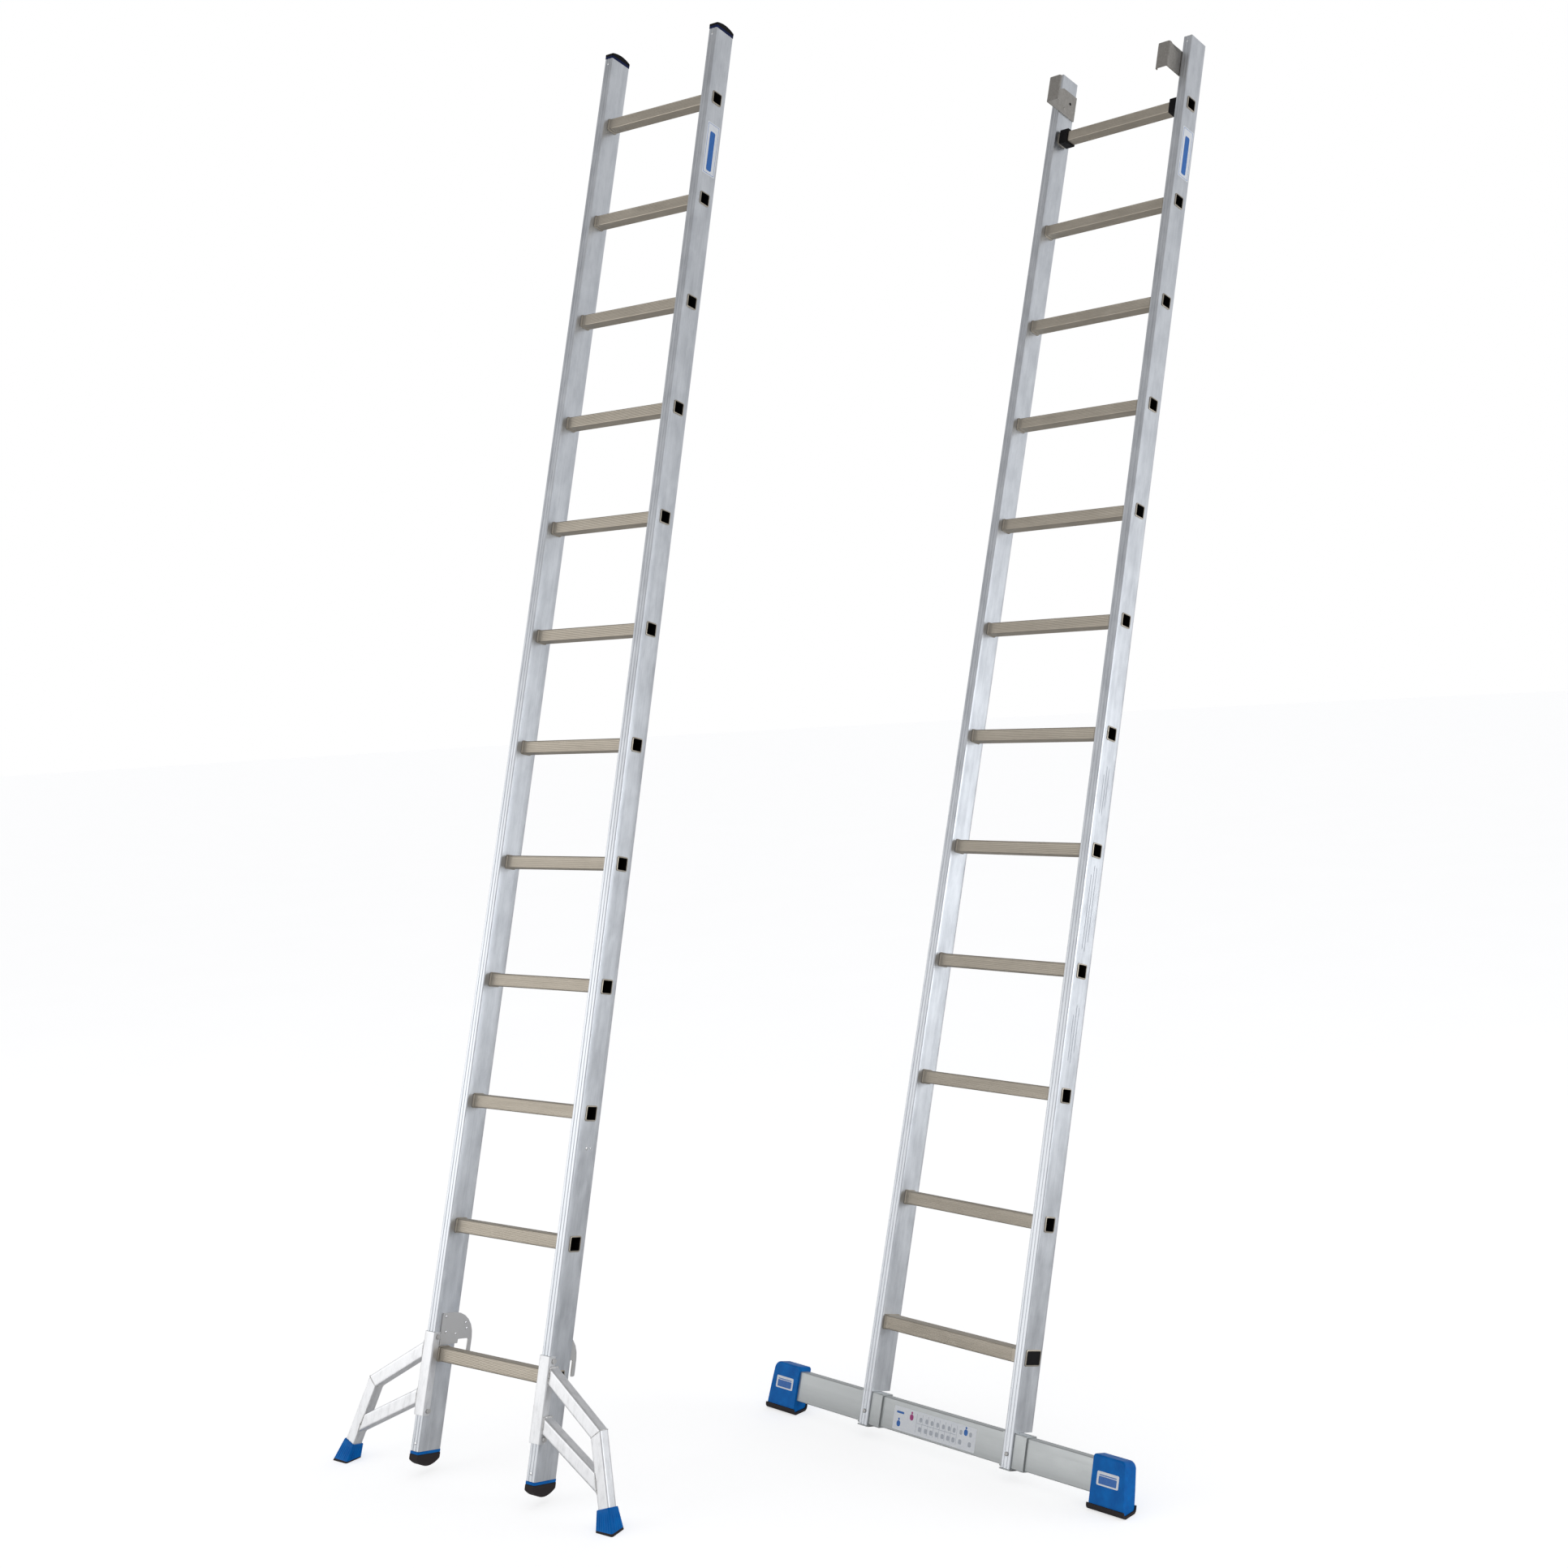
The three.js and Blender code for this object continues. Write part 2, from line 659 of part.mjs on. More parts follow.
// Flared foot pushed onto the leg's end and cut level with the floor.
function outriggerFoot(side) {
  const path = outriggerPath(side);
  const along = new THREE.Vector2(...path.end).sub(new THREE.Vector2(...path.knee)).normalize();
  const across = new THREE.Vector2(-along.y, along.x);
  const top = new THREE.Vector2(...path.end).addScaledVector(along, -legSocket);
  const low = top.clone().addScaledVector(along, 2 * outFootLength);
  const spread = outFootTop + 2 * (outFootBottom - outFootTop);
  const corner = (point, width) => {
    const moved = point.clone().addScaledVector(across, width / 2);
    return [moved.x, moved.y, 1.5];
  };
  const face = [corner(top, outFootTop), corner(top, -outFootTop), corner(low, -spread), corner(low, spread)];
  const middle = (strutFront + strutBack) / 2;
  const ground = (y) => [y, outriggerFloor(y)];
  const sides = [
    [middle - outFootDepthTop / 2, top.y + outFootLength],
    [middle - outFootDepthTop / 2, top.y],
    ground(middle - outFootDepthBottom / 2),
    ground(middle + outFootDepthBottom / 2),
    [middle + outFootDepthTop / 2, top.y],
    [middle + outFootDepthTop / 2, top.y + outFootLength],
  ];
  const reach = flyOutside + legOut;
  const block = common(prism("y", face, -stileDepth, stileDepth, 2),
    prism("x", sides, -2 * reach, 2 * reach));
  const socket = prism("y",
    barCorners(path.knee, path.end, strutWidth + 2 * gap, 0, gap, false), strutFront - gap, strutBack + gap);
  return piece(`outrigger_foot_${sideName(side)}`, cut(block, socket), "bluePlastic");
}

// Hexagon bolt and nut through the bracket and the stile, one body each.
function outriggerBolt(side, level, height) {
  const y = -halfDepth + boltInset;
  const outer = side * (bracketOutside + gap);
  const inner = side * (flyOutside - stileWidth - sheet - 2 * gap);
  const ends = (face, reach) => [Math.min(face, face + reach), Math.max(face, face + reach)];
  const head = rod("x", boltHead, ...ends(outer, side * boltHeadHeight), y, height, 6);
  const nut = rod("x", boltHead, ...ends(inner, -side * boltHeadHeight), y, height, 6);
  const shank = rod("x", boltShank, Math.min(outer, inner) - over,
    Math.max(outer, inner) + over, y, height);
  return piece(`outrigger_bolt_${level}_${sideName(side)}`, join(shank, head, nut), "bright");
}

// ---- assembly -----------------------------------------------------------------------------

// Leans a section back and sets its bottom rung at the given place.
function stand(meshes, lean, turn, x, y, z) {
  const leaned = new THREE.Group();
  leaned.rotation.x = -radians(lean);
  leaned.add(...meshes);
  const placed = new THREE.Group();
  placed.rotation.z = radians(turn);
  placed.position.set(x, y, z);
  placed.add(leaned);
  return placed;
}

const sides = [-1, 1];

const baseSection = stand([
  ...sides.map(baseStile),
  ...rungs("base", baseWidth / 2),
  ...sides.map(guideHook),
  ...sides.map(glideBlock),
  crossbar(),
  ...sides.map(crossbarSaddle),
  ...sides.map(crossbarScrew),
  ...sides.map(crossbarCap),
  ...sides.map(crossbarSole),
], baseLean, 0, 0, 0, baseRungHeight);

const flySection = stand([
  ...sides.map(flyStile),
  ...rungs("fly", flyOutside),
  ...sides.map(topCap),
  ...sides.map(footShoePiece),
  ...sides.map(footSole),
  ...sides.map(rungHook),
  ...sides.map(outriggerBracket),
  ...sides.map(outriggerFrame),
  ...sides.map(outriggerFoot),
  ...sides.map((side) => outriggerBolt(side, "upper", upperBolt)),
  ...sides.map((side) => outriggerBolt(side, "lower", lowerBolt)),
], flyLean, flyTurn, -flyLeft, -flyForward, flyRungHeight);

const ladder = new THREE.Group();
ladder.add(baseSection, flySection);
ladder.updateMatrixWorld(true);
const extent = new THREE.Box3().setFromObject(ladder, true);
const centre = extent.getCenter(new THREE.Vector3());
ladder.position.set(-centre.x, -centre.y, 0);

export default ladder;
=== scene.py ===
"""An aluminium extension ladder in two sections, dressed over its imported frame.

Each section is worked out in its own millimetre frame: x across the ladder, y from the climbing
side to the wall side, z up along the stiles, and the origin in the middle of the bottom rung.
"""

import logging
import math
from dataclasses import dataclass, field
from enum import Enum
from typing import Any, Callable, Sequence

import bpy
import numpy as np
from mathutils import Matrix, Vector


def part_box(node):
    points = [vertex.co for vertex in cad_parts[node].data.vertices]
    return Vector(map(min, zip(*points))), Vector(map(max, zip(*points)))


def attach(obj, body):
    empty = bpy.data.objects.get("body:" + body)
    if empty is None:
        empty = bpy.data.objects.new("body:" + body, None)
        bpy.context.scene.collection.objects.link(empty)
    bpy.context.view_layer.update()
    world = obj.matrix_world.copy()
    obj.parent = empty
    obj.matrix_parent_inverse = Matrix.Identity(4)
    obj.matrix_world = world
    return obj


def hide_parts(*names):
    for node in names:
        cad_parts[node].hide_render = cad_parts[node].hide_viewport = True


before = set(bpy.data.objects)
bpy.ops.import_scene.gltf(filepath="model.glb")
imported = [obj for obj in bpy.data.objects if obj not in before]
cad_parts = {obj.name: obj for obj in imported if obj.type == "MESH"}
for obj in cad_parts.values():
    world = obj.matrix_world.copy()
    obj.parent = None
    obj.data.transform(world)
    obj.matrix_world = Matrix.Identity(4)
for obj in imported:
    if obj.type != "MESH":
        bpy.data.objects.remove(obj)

Array = np.ndarray
Corner = tuple[float, ...]
MM = 0.001
GAP = 0.3
RUNG_COUNT = 12
RUNG_PITCH = 280.0
LOG = logging.getLogger("ladder")


class Side(Enum):
    """Left or right as a climber sees the ladder."""

    LEFT = -1
    RIGHT = 1

    @property
    def label(self) -> str:
        """The word used in node names."""
        return self.name.lower()


class Axis(Enum):
    """Direction in a section's own frame, with the stretch of a grain that runs along it."""

    ACROSS = 0
    DEPTH = 1
    ALONG = 2

    def stretch(self, across: float, along: float) -> tuple[float, float, float]:
        """Scale of a pattern for each axis: `along` on this one and `across` on the others."""
        return tuple(along if index == self.value else across for index in range(3))


# ---- shader maths ---------------------------------------------------------------------------


class Wire:
    """A socket that can be used in sums; every operator adds one Math node."""

    def __init__(self, graph: "Graph", socket: bpy.types.NodeSocket) -> None:
        """Keeps the socket and the graph that it belongs to."""
        self.graph = graph
        self.socket = socket

    def maths(self, operation: str, *others: Any, swap: bool = False) -> "Wire":
        """One Math node.

        Args:
            operation: the Math node's operation.
            others: the remaining inputs, wires or numbers.
            swap: puts this wire second instead of first.

        Returns:
            The node's result.
        """
        inputs = [self, *others]
        if swap:
            inputs.reverse()
        return self.graph.add("ShaderNodeMath", {"operation": operation}, dict(enumerate(inputs)))

    def __add__(self, other: Any) -> "Wire":
        """self + other."""
        return self.maths("ADD", other)

    def __radd__(self, other: Any) -> "Wire":
        """other + self."""
        return self.maths("ADD", other, swap=True)

    def __sub__(self, other: Any) -> "Wire":
        """self - other."""
        return self.maths("SUBTRACT", other)

    def __rsub__(self, other: Any) -> "Wire":
        """other - self."""
        return self.maths("SUBTRACT", other, swap=True)

    def __mul__(self, other: Any) -> "Wire":
        """self * other."""
        return self.maths("MULTIPLY", other)

    def __rmul__(self, other: Any) -> "Wire":
        """other * self."""
        return self.maths("MULTIPLY", other, swap=True)

    def window(self, low: float, high: float) -> "Wire":
        """Rises smoothly from 0 at `low` to 1 at `high`."""
        return self.graph.add("ShaderNodeMapRange", {"interpolation_type": "SMOOTHSTEP"},
                              {0: self, 1: low, 2: high, 3: 0.0, 4: 1.0})


class Graph:
    """The node tree of one material or world."""

    def __init__(self, tree: bpy.types.NodeTree) -> None:
        """Empties the tree and keeps it."""
        tree.nodes.clear()
        self.tree = tree

    def add(self, kind: str, settings: dict[str, Any], inputs: dict[Any, Any], output: Any = 0) -> Wire:
        """Adds a node.

        Args:
            kind: the node's type.
            settings: its properties, set before its inputs.
            inputs: a wire or a plain value for each input socket, by name or number.
            output: the output socket wanted.

        Returns:
            That output as a wire.
        """
        node = self.tree.nodes.new(kind)
        for key, value in settings.items():
            setattr(node, key, value)
        for key, value in inputs.items():
            if isinstance(value, Wire):
                self.tree.links.new(value.socket, node.inputs[key])
            else:
                node.inputs[key].default_value = value
        return Wire(self, node.outputs[output]) if node.outputs else Wire(self, node.inputs[0])

    def place(self) -> Wire:
        """Position in the section's own frame, in metres, carried by every piece."""
        return self.add("ShaderNodeAttribute", {"attribute_name": "own_place"}, {}, "Vector")

    def scaled(self, vector: Wire, factors: Sequence[float]) -> Wire:
        """A vector multiplied component by component."""
        return self.add("ShaderNodeVectorMath", {"operation": "MULTIPLY"}, {0: vector, 1: tuple(factors)})

    def noise(self, vector: Wire, detail: float = 2.0, rough: float = 0.5) -> Wire:
        """Smooth noise from 0 to 1 with features one unit across."""
        return self.add("ShaderNodeTexNoise", {},
                        {"Vector": vector, "Scale": 1.0, "Detail": detail, "Roughness": rough})

    def blend(self, factor: Any, first: Any, second: Any) -> Wire:
        """Colour that goes from `first` to `second` with the factor."""
        return self.add("ShaderNodeMix", {"data_type": "RGBA"}, {0: factor, 6: first, 7: second}, 2)

    def bump(self, height: Wire, distance: float, strength: float = 1.0) -> Wire:
        """Normal bent by a height from 0 to 1 over the given distance in metres."""
        return self.add("ShaderNodeBump", {}, {"Strength": strength, "Distance": distance, "Height": height})

    def surface(self, values: dict[str, Any]) -> None:
        """Principled shader with the given inputs, wired to the material's output."""
        shader = self.add("ShaderNodeBsdfPrincipled", {}, values)
        self.add("ShaderNodeOutputMaterial", {}, {"Surface": shader})


def new_graph(name: str) -> tuple[bpy.types.Material, Graph]:
    """Makes an empty material of the given name and its graph."""
    material = bpy.data.materials.new(name)
    material.use_nodes = True
    return material, Graph(material.node_tree)


def solid_colour(red: float, green: float, blue: float) -> tuple[float, float, float, float]:
    """Opaque colour from linear red, green and blue."""
    return (red, green, blue, 1.0)


# ---- finishes -------------------------------------------------------------------------------


@dataclass(frozen=True)
class DrawnMetal:
    """Extruded or drawn metal: die lines along the profile, cloudy patches and a few scratches."""

    name: str
    light: tuple[float, float, float]
    dark: tuple[float, float, float]
    roughness: float
    grain: Axis = Axis.ALONG
    line_scale: float = 520.0
    line_depth: float = 0.00006
    cloud_scale: float = 14.0
    cloud_share: float = 0.5
    scratches: float = 0.35

    def build(self) -> bpy.types.Material:
        """Node material of this metal."""
        material, graph = new_graph(self.name)
        place = graph.place()
        lines = graph.noise(graph.scaled(place, self.grain.stretch(self.line_scale, 3.0)), 3.0, 0.6)
        bands = graph.noise(graph.scaled(place, self.grain.stretch(self.line_scale / 7, 1.3)), 2.0)
        cloud = graph.noise(graph.scaled(place, self.grain.stretch(self.cloud_scale * 2.4, self.cloud_scale)),
                            5.0, 0.62)
        marks = graph.noise(graph.scaled(place, (310.0, 340.0, 95.0)), 4.0, 0.7).window(0.66, 0.72)
        fleck = graph.noise(graph.scaled(place, (90.0, 80.0, 60.0)), 3.0).window(0.62, 0.7) * self.scratches
        shade = (lines * 0.30 + bands * 0.30 + cloud * self.cloud_share - 0.06 * self.cloud_share).window(0.2, 0.9)
        colour = graph.blend(shade, solid_colour(*self.dark), solid_colour(*self.light))
        worn = graph.blend(marks * fleck, colour, solid_colour(*[min(1.0, value * 1.25) for value in self.light]))
        rough = self.roughness + (cloud - 0.5) * 0.22 + (lines - 0.5) * 0.16 - marks * fleck * 0.15
        height = lines * 0.7 + bands * 0.3 - marks * fleck * 0.5
        graph.surface({"Base Color": worn, "Metallic": 1.0, "Roughness": rough,
                       "Normal": graph.bump(height, self.line_depth, 0.6)})
        return material


@dataclass(frozen=True)
class PlatedSteel:
    """Bent or turned steel with a dull plating: mottled grain, darker pits, rubbed high spots."""

    name: str
    light: tuple[float, float, float]
    dark: tuple[float, float, float]
    roughness: float
    mottle: float = 170.0

    def build(self) -> bpy.types.Material:
        """Node material of this steel."""
        material, graph = new_graph(self.name)
        place = graph.place()
        mottle = graph.noise(graph.scaled(place, (self.mottle,) * 3), 6.0, 0.65)
        rolled = graph.noise(graph.scaled(place, (900.0, 60.0, 60.0)), 2.0)
        pits = graph.noise(graph.scaled(place, (620.0,) * 3), 2.0).window(0.64, 0.75)
        shade = (mottle * 0.75 + rolled * 0.25 - pits * 0.3).window(0.25, 0.75)
        graph.surface({"Base Color": graph.blend(shade, solid_colour(*self.dark), solid_colour(*self.light)),
                       "Metallic": 1.0,
                       "Roughness": self.roughness + (mottle - 0.5) * 0.3 + pits * 0.15,
                       "Normal": graph.bump(mottle - pits * 0.6, 0.00012, 0.5)})
        return material


@dataclass(frozen=True)
class WeldedBead:
    """Bright aluminium weld with a fine rippled skin and a little soot."""

    name: str
    light: tuple[float, float, float] = (0.82, 0.81, 0.79)
    dark: tuple[float, float, float] = (0.38, 0.36, 0.33)

    def build(self) -> bpy.types.Material:
        """Node material of the weld."""
        material, graph = new_graph(self.name)
        place = graph.place()
        skin = graph.noise(graph.scaled(place, (900.0,) * 3), 4.0, 0.6)
        soot = graph.noise(graph.scaled(place, (130.0,) * 3), 3.0).window(0.5, 0.78)
        graph.surface({"Base Color": graph.blend(soot, solid_colour(*self.light), solid_colour(*self.dark)),
                       "Metallic": 1.0, "Roughness": 0.34 + skin * 0.25,
                       "Normal": graph.bump(skin, 0.0004, 0.6)})
        return material


@dataclass(frozen=True)
class Moulded:
    """Moulded plastic or rubber: fine pebbled skin, cloudy colour, pale scuffs and dust."""

    name: str
    colour: tuple[float, float, float]
    deep: tuple[float, float, float]
    scuff: tuple[float, float, float]
    roughness: float
    shine: float = 0.12
    pebble: float = 1500.0
    pebble_depth: float = 0.00006
    scuff_share: float = 0.35

    def build(self) -> bpy.types.Material:
        """Node material of this moulding."""
        material, graph = new_graph(self.name)
        place = graph.place()
        pebble = graph.noise(graph.scaled(place, (self.pebble,) * 3), 2.0, 0.6)
        cloud = graph.noise(graph.scaled(place, (38.0,) * 3), 4.0, 0.6)
        scuffs = graph.noise(graph.scaled(place, (260.0, 240.0, 90.0)), 5.0, 0.7).window(0.6, 0.74)
        colour = graph.blend(cloud.window(0.25, 0.8), solid_colour(*self.deep), solid_colour(*self.colour))
        worn = graph.blend(scuffs * self.scuff_share, colour, solid_colour(*self.scuff))
        graph.surface({"Base Color": worn, "Specular IOR Level": self.shine,
                       "Roughness": self.roughness + (pebble - 0.5) * 0.12 + scuffs * 0.12,
                       "Normal": graph.bump(pebble + scuffs * 0.4, self.pebble_depth, 0.6)})
        return material


@dataclass(frozen=True)
class PrintedFilm:
    """Thin printed film: slight mottling of the ink and soft creases."""

    name: str
    colour: tuple[float, float, float]
    faded: tuple[float, float, float]
    roughness: float = 0.38

    def build(self) -> bpy.types.Material:
        """Node material of this film."""
        material, graph = new_graph(self.name)
        place = graph.place()
        mottle = graph.noise(graph.scaled(place, (220.0,) * 3), 5.0, 0.6)
        crease = graph.noise(graph.scaled(place, (45.0, 45.0, 120.0)), 3.0)
        graph.surface({"Base Color": graph.blend(mottle.window(0.3, 0.75), solid_colour(*self.colour),
                                                 solid_colour(*self.faded)),
                       "Roughness": self.roughness + (mottle - 0.5) * 0.2,
                       "Normal": graph.bump(crease, 0.0002, 0.3)})
        return material


class Stock(Enum):
    """Every finish on the ladder."""

    STILE = DrawnMetal("stile_satin", (0.81, 0.83, 0.855), (0.53, 0.55, 0.58), 0.38, cloud_share=0.7)
    RUNG = DrawnMetal("rung_mill", (0.62, 0.56, 0.47), (0.40, 0.355, 0.29), 0.40, Axis.ACROSS, 420.0)
    BAR = DrawnMetal("bar_satin", (0.61, 0.63, 0.625), (0.50, 0.515, 0.51), 0.46, Axis.ACROSS)
    STRUT = DrawnMetal("strut_mill", (0.92, 0.92, 0.925), (0.58, 0.58, 0.585), 0.42, Axis.ALONG, 380.0,
                       cloud_scale=26.0, cloud_share=1.0)
    PRESSED = PlatedSteel("pressed_steel", (0.50, 0.475, 0.44), (0.34, 0.32, 0.29), 0.42)
    ZINC = PlatedSteel("zinc_steel", (0.74, 0.735, 0.72), (0.47, 0.465, 0.455), 0.34, 240.0)
    DARK_RIVET = PlatedSteel("dark_rivet", (0.05, 0.045, 0.045), (0.02, 0.02, 0.02), 0.5)
    BRIGHT_RIVET = PlatedSteel("bright_rivet", (0.97, 0.97, 0.97), (0.85, 0.85, 0.85), 0.25)
    WELD = WeldedBead("weld")
    BLUE = Moulded("blue_moulding", (0.0004, 0.20, 0.66), (0.0002, 0.135, 0.50), (0.03, 0.24, 0.58), 0.42)
    NAVY = Moulded("navy_moulding", (0.006, 0.018, 0.10), (0.003, 0.009, 0.055), (0.04, 0.06, 0.18), 0.4)
    BLACK = Moulded("black_moulding", (0.010, 0.009, 0.010), (0.005, 0.0045, 0.005), (0.045, 0.04, 0.04), 0.5)
    RUBBER = Moulded("black_rubber", (0.016, 0.011, 0.012), (0.008, 0.006, 0.0065), (0.06, 0.05, 0.048), 0.72)
    PALE_FILM = PrintedFilm("pale_film", (0.96, 0.98, 1.0), (0.88, 0.91, 0.96))
    BLUE_FILM = PrintedFilm("blue_film", (0.01, 0.14, 0.52), (0.03, 0.19, 0.58))
    RED_FILM = PrintedFilm("red_film", (0.42, 0.02, 0.2), (0.5, 0.06, 0.27))
    GREY_FILM = PrintedFilm("grey_film", (0.50, 0.53, 0.58), (0.58, 0.61, 0.66))
    # Near-black lining for the inside of the rung tubes: painted shade in the bore, though the tube is the same
    # aluminium throughout.
    INSIDE = DrawnMetal("tube_inside_painted_shade", (0.035, 0.032, 0.03), (0.012, 0.011, 0.01), 0.7, Axis.ACROSS)

    def material(self) -> bpy.types.Material:
        """The finish's material, built on first use."""
        return bpy.data.materials.get(self.value.name) or self.value.build()


# ---- outlines -------------------------------------------------------------------------------


def filleted(corners: Sequence[Corner], steps: int = 4) -> Array:
    """Closed outline through corners (a, b, radius), counter-clockwise.

    A corner with a radius becomes an arc about the point where lines parallel to its two sides,
    a radius inside them, cross: from one touching point to the other the arc is the sum of the
    two end radii weighted by sin((1 - s)p) and sin(s p) over sin(p), p being the turn.

    Args:
        corners: the outline's corners; a missing radius is nought.
        steps: straight pieces in each arc.

    Returns:
        Points as an (n, 2) array.
    """
    points = np.array([corner[:2] for corner in corners], float)
    radius = np.array([corner[2] if len(corner) > 2 else 0.0 for corner in corners])
    if np.sum(points[:, 0] * np.roll(points[:, 1], -1) - np.roll(points[:, 0], -1) * points[:, 1]) < 0:
        points, radius = points[::-1], radius[::-1]
    back = np.roll(points, 1, axis=0) - points
    ahead = np.roll(points, -1, axis=0) - points
    back /= np.linalg.norm(back, axis=1, keepdims=True)
    ahead /= np.linalg.norm(ahead, axis=1, keepdims=True)
    inner = np.arccos(np.clip(np.sum(back * ahead, axis=1), -1, 1))
    turn = np.where(radius > 0, np.pi - inner, 1.0)
    reach = np.where(radius > 0, radius / np.tan(np.maximum(inner, 1e-3) / 2), 0.0)
    middle = back + ahead
    middle /= np.maximum(np.linalg.norm(middle, axis=1, keepdims=True), 1e-9)
    centre = points + middle * (radius / np.sin(np.maximum(inner, 1e-3) / 2))[:, None]
    first = points + back * reach[:, None] - centre
    last = points + ahead * reach[:, None] - centre
    share = np.linspace(0, 1, steps + 1)[None, :, None]
    bend = turn[:, None, None]
    arcs = centre[:, None] + (np.sin((1 - share) * bend) * first[:, None]
                              + np.sin(share * bend) * last[:, None]) / np.sin(bend)
    keep = np.ones((len(points), steps + 1), bool)
    keep[radius <= 0, 1:] = False
    arcs[radius <= 0, 0] = points[radius <= 0]
    return arcs[keep]


def rectangle(a0: float, a1: float, b0: float, b1: float, radius: float = 0.0) -> list[Corner]:
    """Corners of a rectangle, each with the same radius."""
    return [(a0, b0, radius), (a1, b0, radius), (a1, b1, radius), (a0, b1, radius)]


def divided(outline: Array, step: float) -> Array:
    """The same closed outline with its long sides cut into pieces no longer than `step`."""
    ahead = np.roll(outline, -1, axis=0) - outline
    parts = np.maximum(1, np.ceil(np.linalg.norm(ahead, axis=1) / step).astype(int))
    starts = np.repeat(outline, parts, axis=0)
    index = np.arange(parts.sum()) - np.repeat(np.cumsum(parts) - parts, parts)
    return starts + np.repeat(ahead, parts, axis=0) * (index / np.repeat(parts, parts))[:, None]


def outward(outline: Array) -> Array:
    """Unit normals of a counter-clockwise outline, each across the line between its neighbours."""
    chord = np.roll(outline, -1, axis=0) - np.roll(outline, 1, axis=0)
    normal = np.stack([chord[:, 1], -chord[:, 0]], axis=1)
    return normal / np.linalg.norm(normal, axis=1, keepdims=True)


# ---- surfaces -------------------------------------------------------------------------------


class Surface:
    """Points and faces of one piece, in a section's own millimetres."""

    def __init__(self) -> None:
        """Starts empty."""
        self.points: list[Array] = []
        self.faces: list[tuple[Array, int]] = []
        self.count = 0

    def add(self, points: Array, faces: Sequence[Array], finish: int = 0) -> None:
        """Adds points with faces that count from the first of them.

        Args:
            points: (n, 3) places.
            faces: arrays of corner numbers, one row a face.
            finish: which of the piece's finishes the faces take.
        """
        self.faces += [(np.asarray(rows) + self.count, finish) for rows in faces if len(rows)]
        self.points.append(points)
        self.count += len(points)

    def loft(self, rings: Array, finish: int = 0, capped: bool = True, looped: bool = False) -> None:
        """Skin over closed rings; each quad joins two neighbours on a ring to the same two on the next.

        Args:
            rings: (m, n, 3) places, each ring counter-clockwise seen from the last ring's side.
            finish: which finish the faces take.
            capped: closes the first and the last ring with a flat face.
            looped: joins the last ring back to the first.
        """
        many, around = rings.shape[:2]
        index = np.arange(many * around).reshape(many, around)
        ahead = np.roll(index, -1, axis=1)
        low, high = (index, np.roll(index, -1, axis=0)) if looped else (index[:-1], index[1:])
        low_next, high_next = (ahead, np.roll(ahead, -1, axis=0)) if looped else (ahead[:-1], ahead[1:])
        quads = np.stack([low, low_next, high_next, high], axis=-1).reshape(-1, 4)
        caps = [index[:1, ::-1], index[-1:]] if capped and not looped else []
        self.add(rings.reshape(-1, 3), [quads, *caps], finish)

    def shell(self, outer: Array, inner: Array, holes: Array, finish: int = 0, inside: int = 0) -> None:
        """Walled tube between two sets of rings, with openings through the wall.

        The cells marked in `holes` are left out of both skins, and wherever a left-out cell meets
        a kept one a wall joins the outer edge to the inner edge.

        Args:
            outer: (m, n, 3) rings of the outer skin.
            inner: (m, n, 3) rings of the inner skin.
            holes: (m - 1, n) marks of the cells that are open.
            finish: finish of the outer skin and the edges.
            inside: finish of the inner skin.
        """
        many, around = outer.shape[:2]
        index = np.arange(many * around).reshape(many, around)
        ahead = np.roll(index, -1, axis=1)
        quads = np.stack([index[:-1], ahead[:-1], ahead[1:], index[1:]], axis=-1)
        shift = many * around
        ends = [np.stack([index[0], index[0] + shift, ahead[0] + shift, ahead[0]], axis=-1),
                np.stack([index[-1], ahead[-1], ahead[-1] + shift, index[-1] + shift], axis=-1)]
        before = holes & ~np.roll(holes, 1, axis=1)
        after = holes & ~np.roll(holes, -1, axis=1)
        under = holes & ~np.vstack([np.zeros((1, around), bool), holes[:-1]])
        over = holes & ~np.vstack([holes[1:], np.zeros((1, around), bool)])
        a, b, c, d = (quads[..., corner] for corner in range(4))
        walls = [np.stack([a, a + shift, d + shift, d], axis=-1)[before],
                 np.stack([b, c, c + shift, b + shift], axis=-1)[after],
                 np.stack([a, b, b + shift, a + shift], axis=-1)[under],
                 np.stack([d, d + shift, c + shift, c], axis=-1)[over]]
        start = self.count
        self.add(np.vstack([outer.reshape(-1, 3), inner.reshape(-1, 3)]), [quads[~holes], *ends, *walls], finish)
        self.faces.append(((quads[~holes] + shift)[:, ::-1] + start, inside))

    def prism(self, axis: Axis, outline: Array, low: Any, high: Any, finish: int = 0) -> None:
        """Straight bar of an outline along an axis; an end may be a height for each point.

        Args:
            axis: the bar's direction. Outlines are (x, y) along z, (y, z) along x, (x, z) along y.
            outline: counter-clockwise (n, 2) points.
            low: lower end.
            high: upper end.
            finish: which finish the faces take.
        """
        if axis is Axis.DEPTH:
            outline = outline[::-1]
        ends = [np.broadcast_to(np.asarray(end, float)[::-1] if axis is Axis.DEPTH and np.ndim(end)
                                else np.asarray(end, float), len(outline)) for end in (low, high)]
        rings = np.empty((2, len(outline), 3))
        plane = {Axis.ALONG: (0, 1, 2), Axis.ACROSS: (1, 2, 0), Axis.DEPTH: (0, 2, 1)}[axis]
        rings[:, :, plane[0]] = outline[:, 0]
        rings[:, :, plane[1]] = outline[:, 1]
        rings[:, :, plane[2]] = ends
        self.loft(rings, finish)

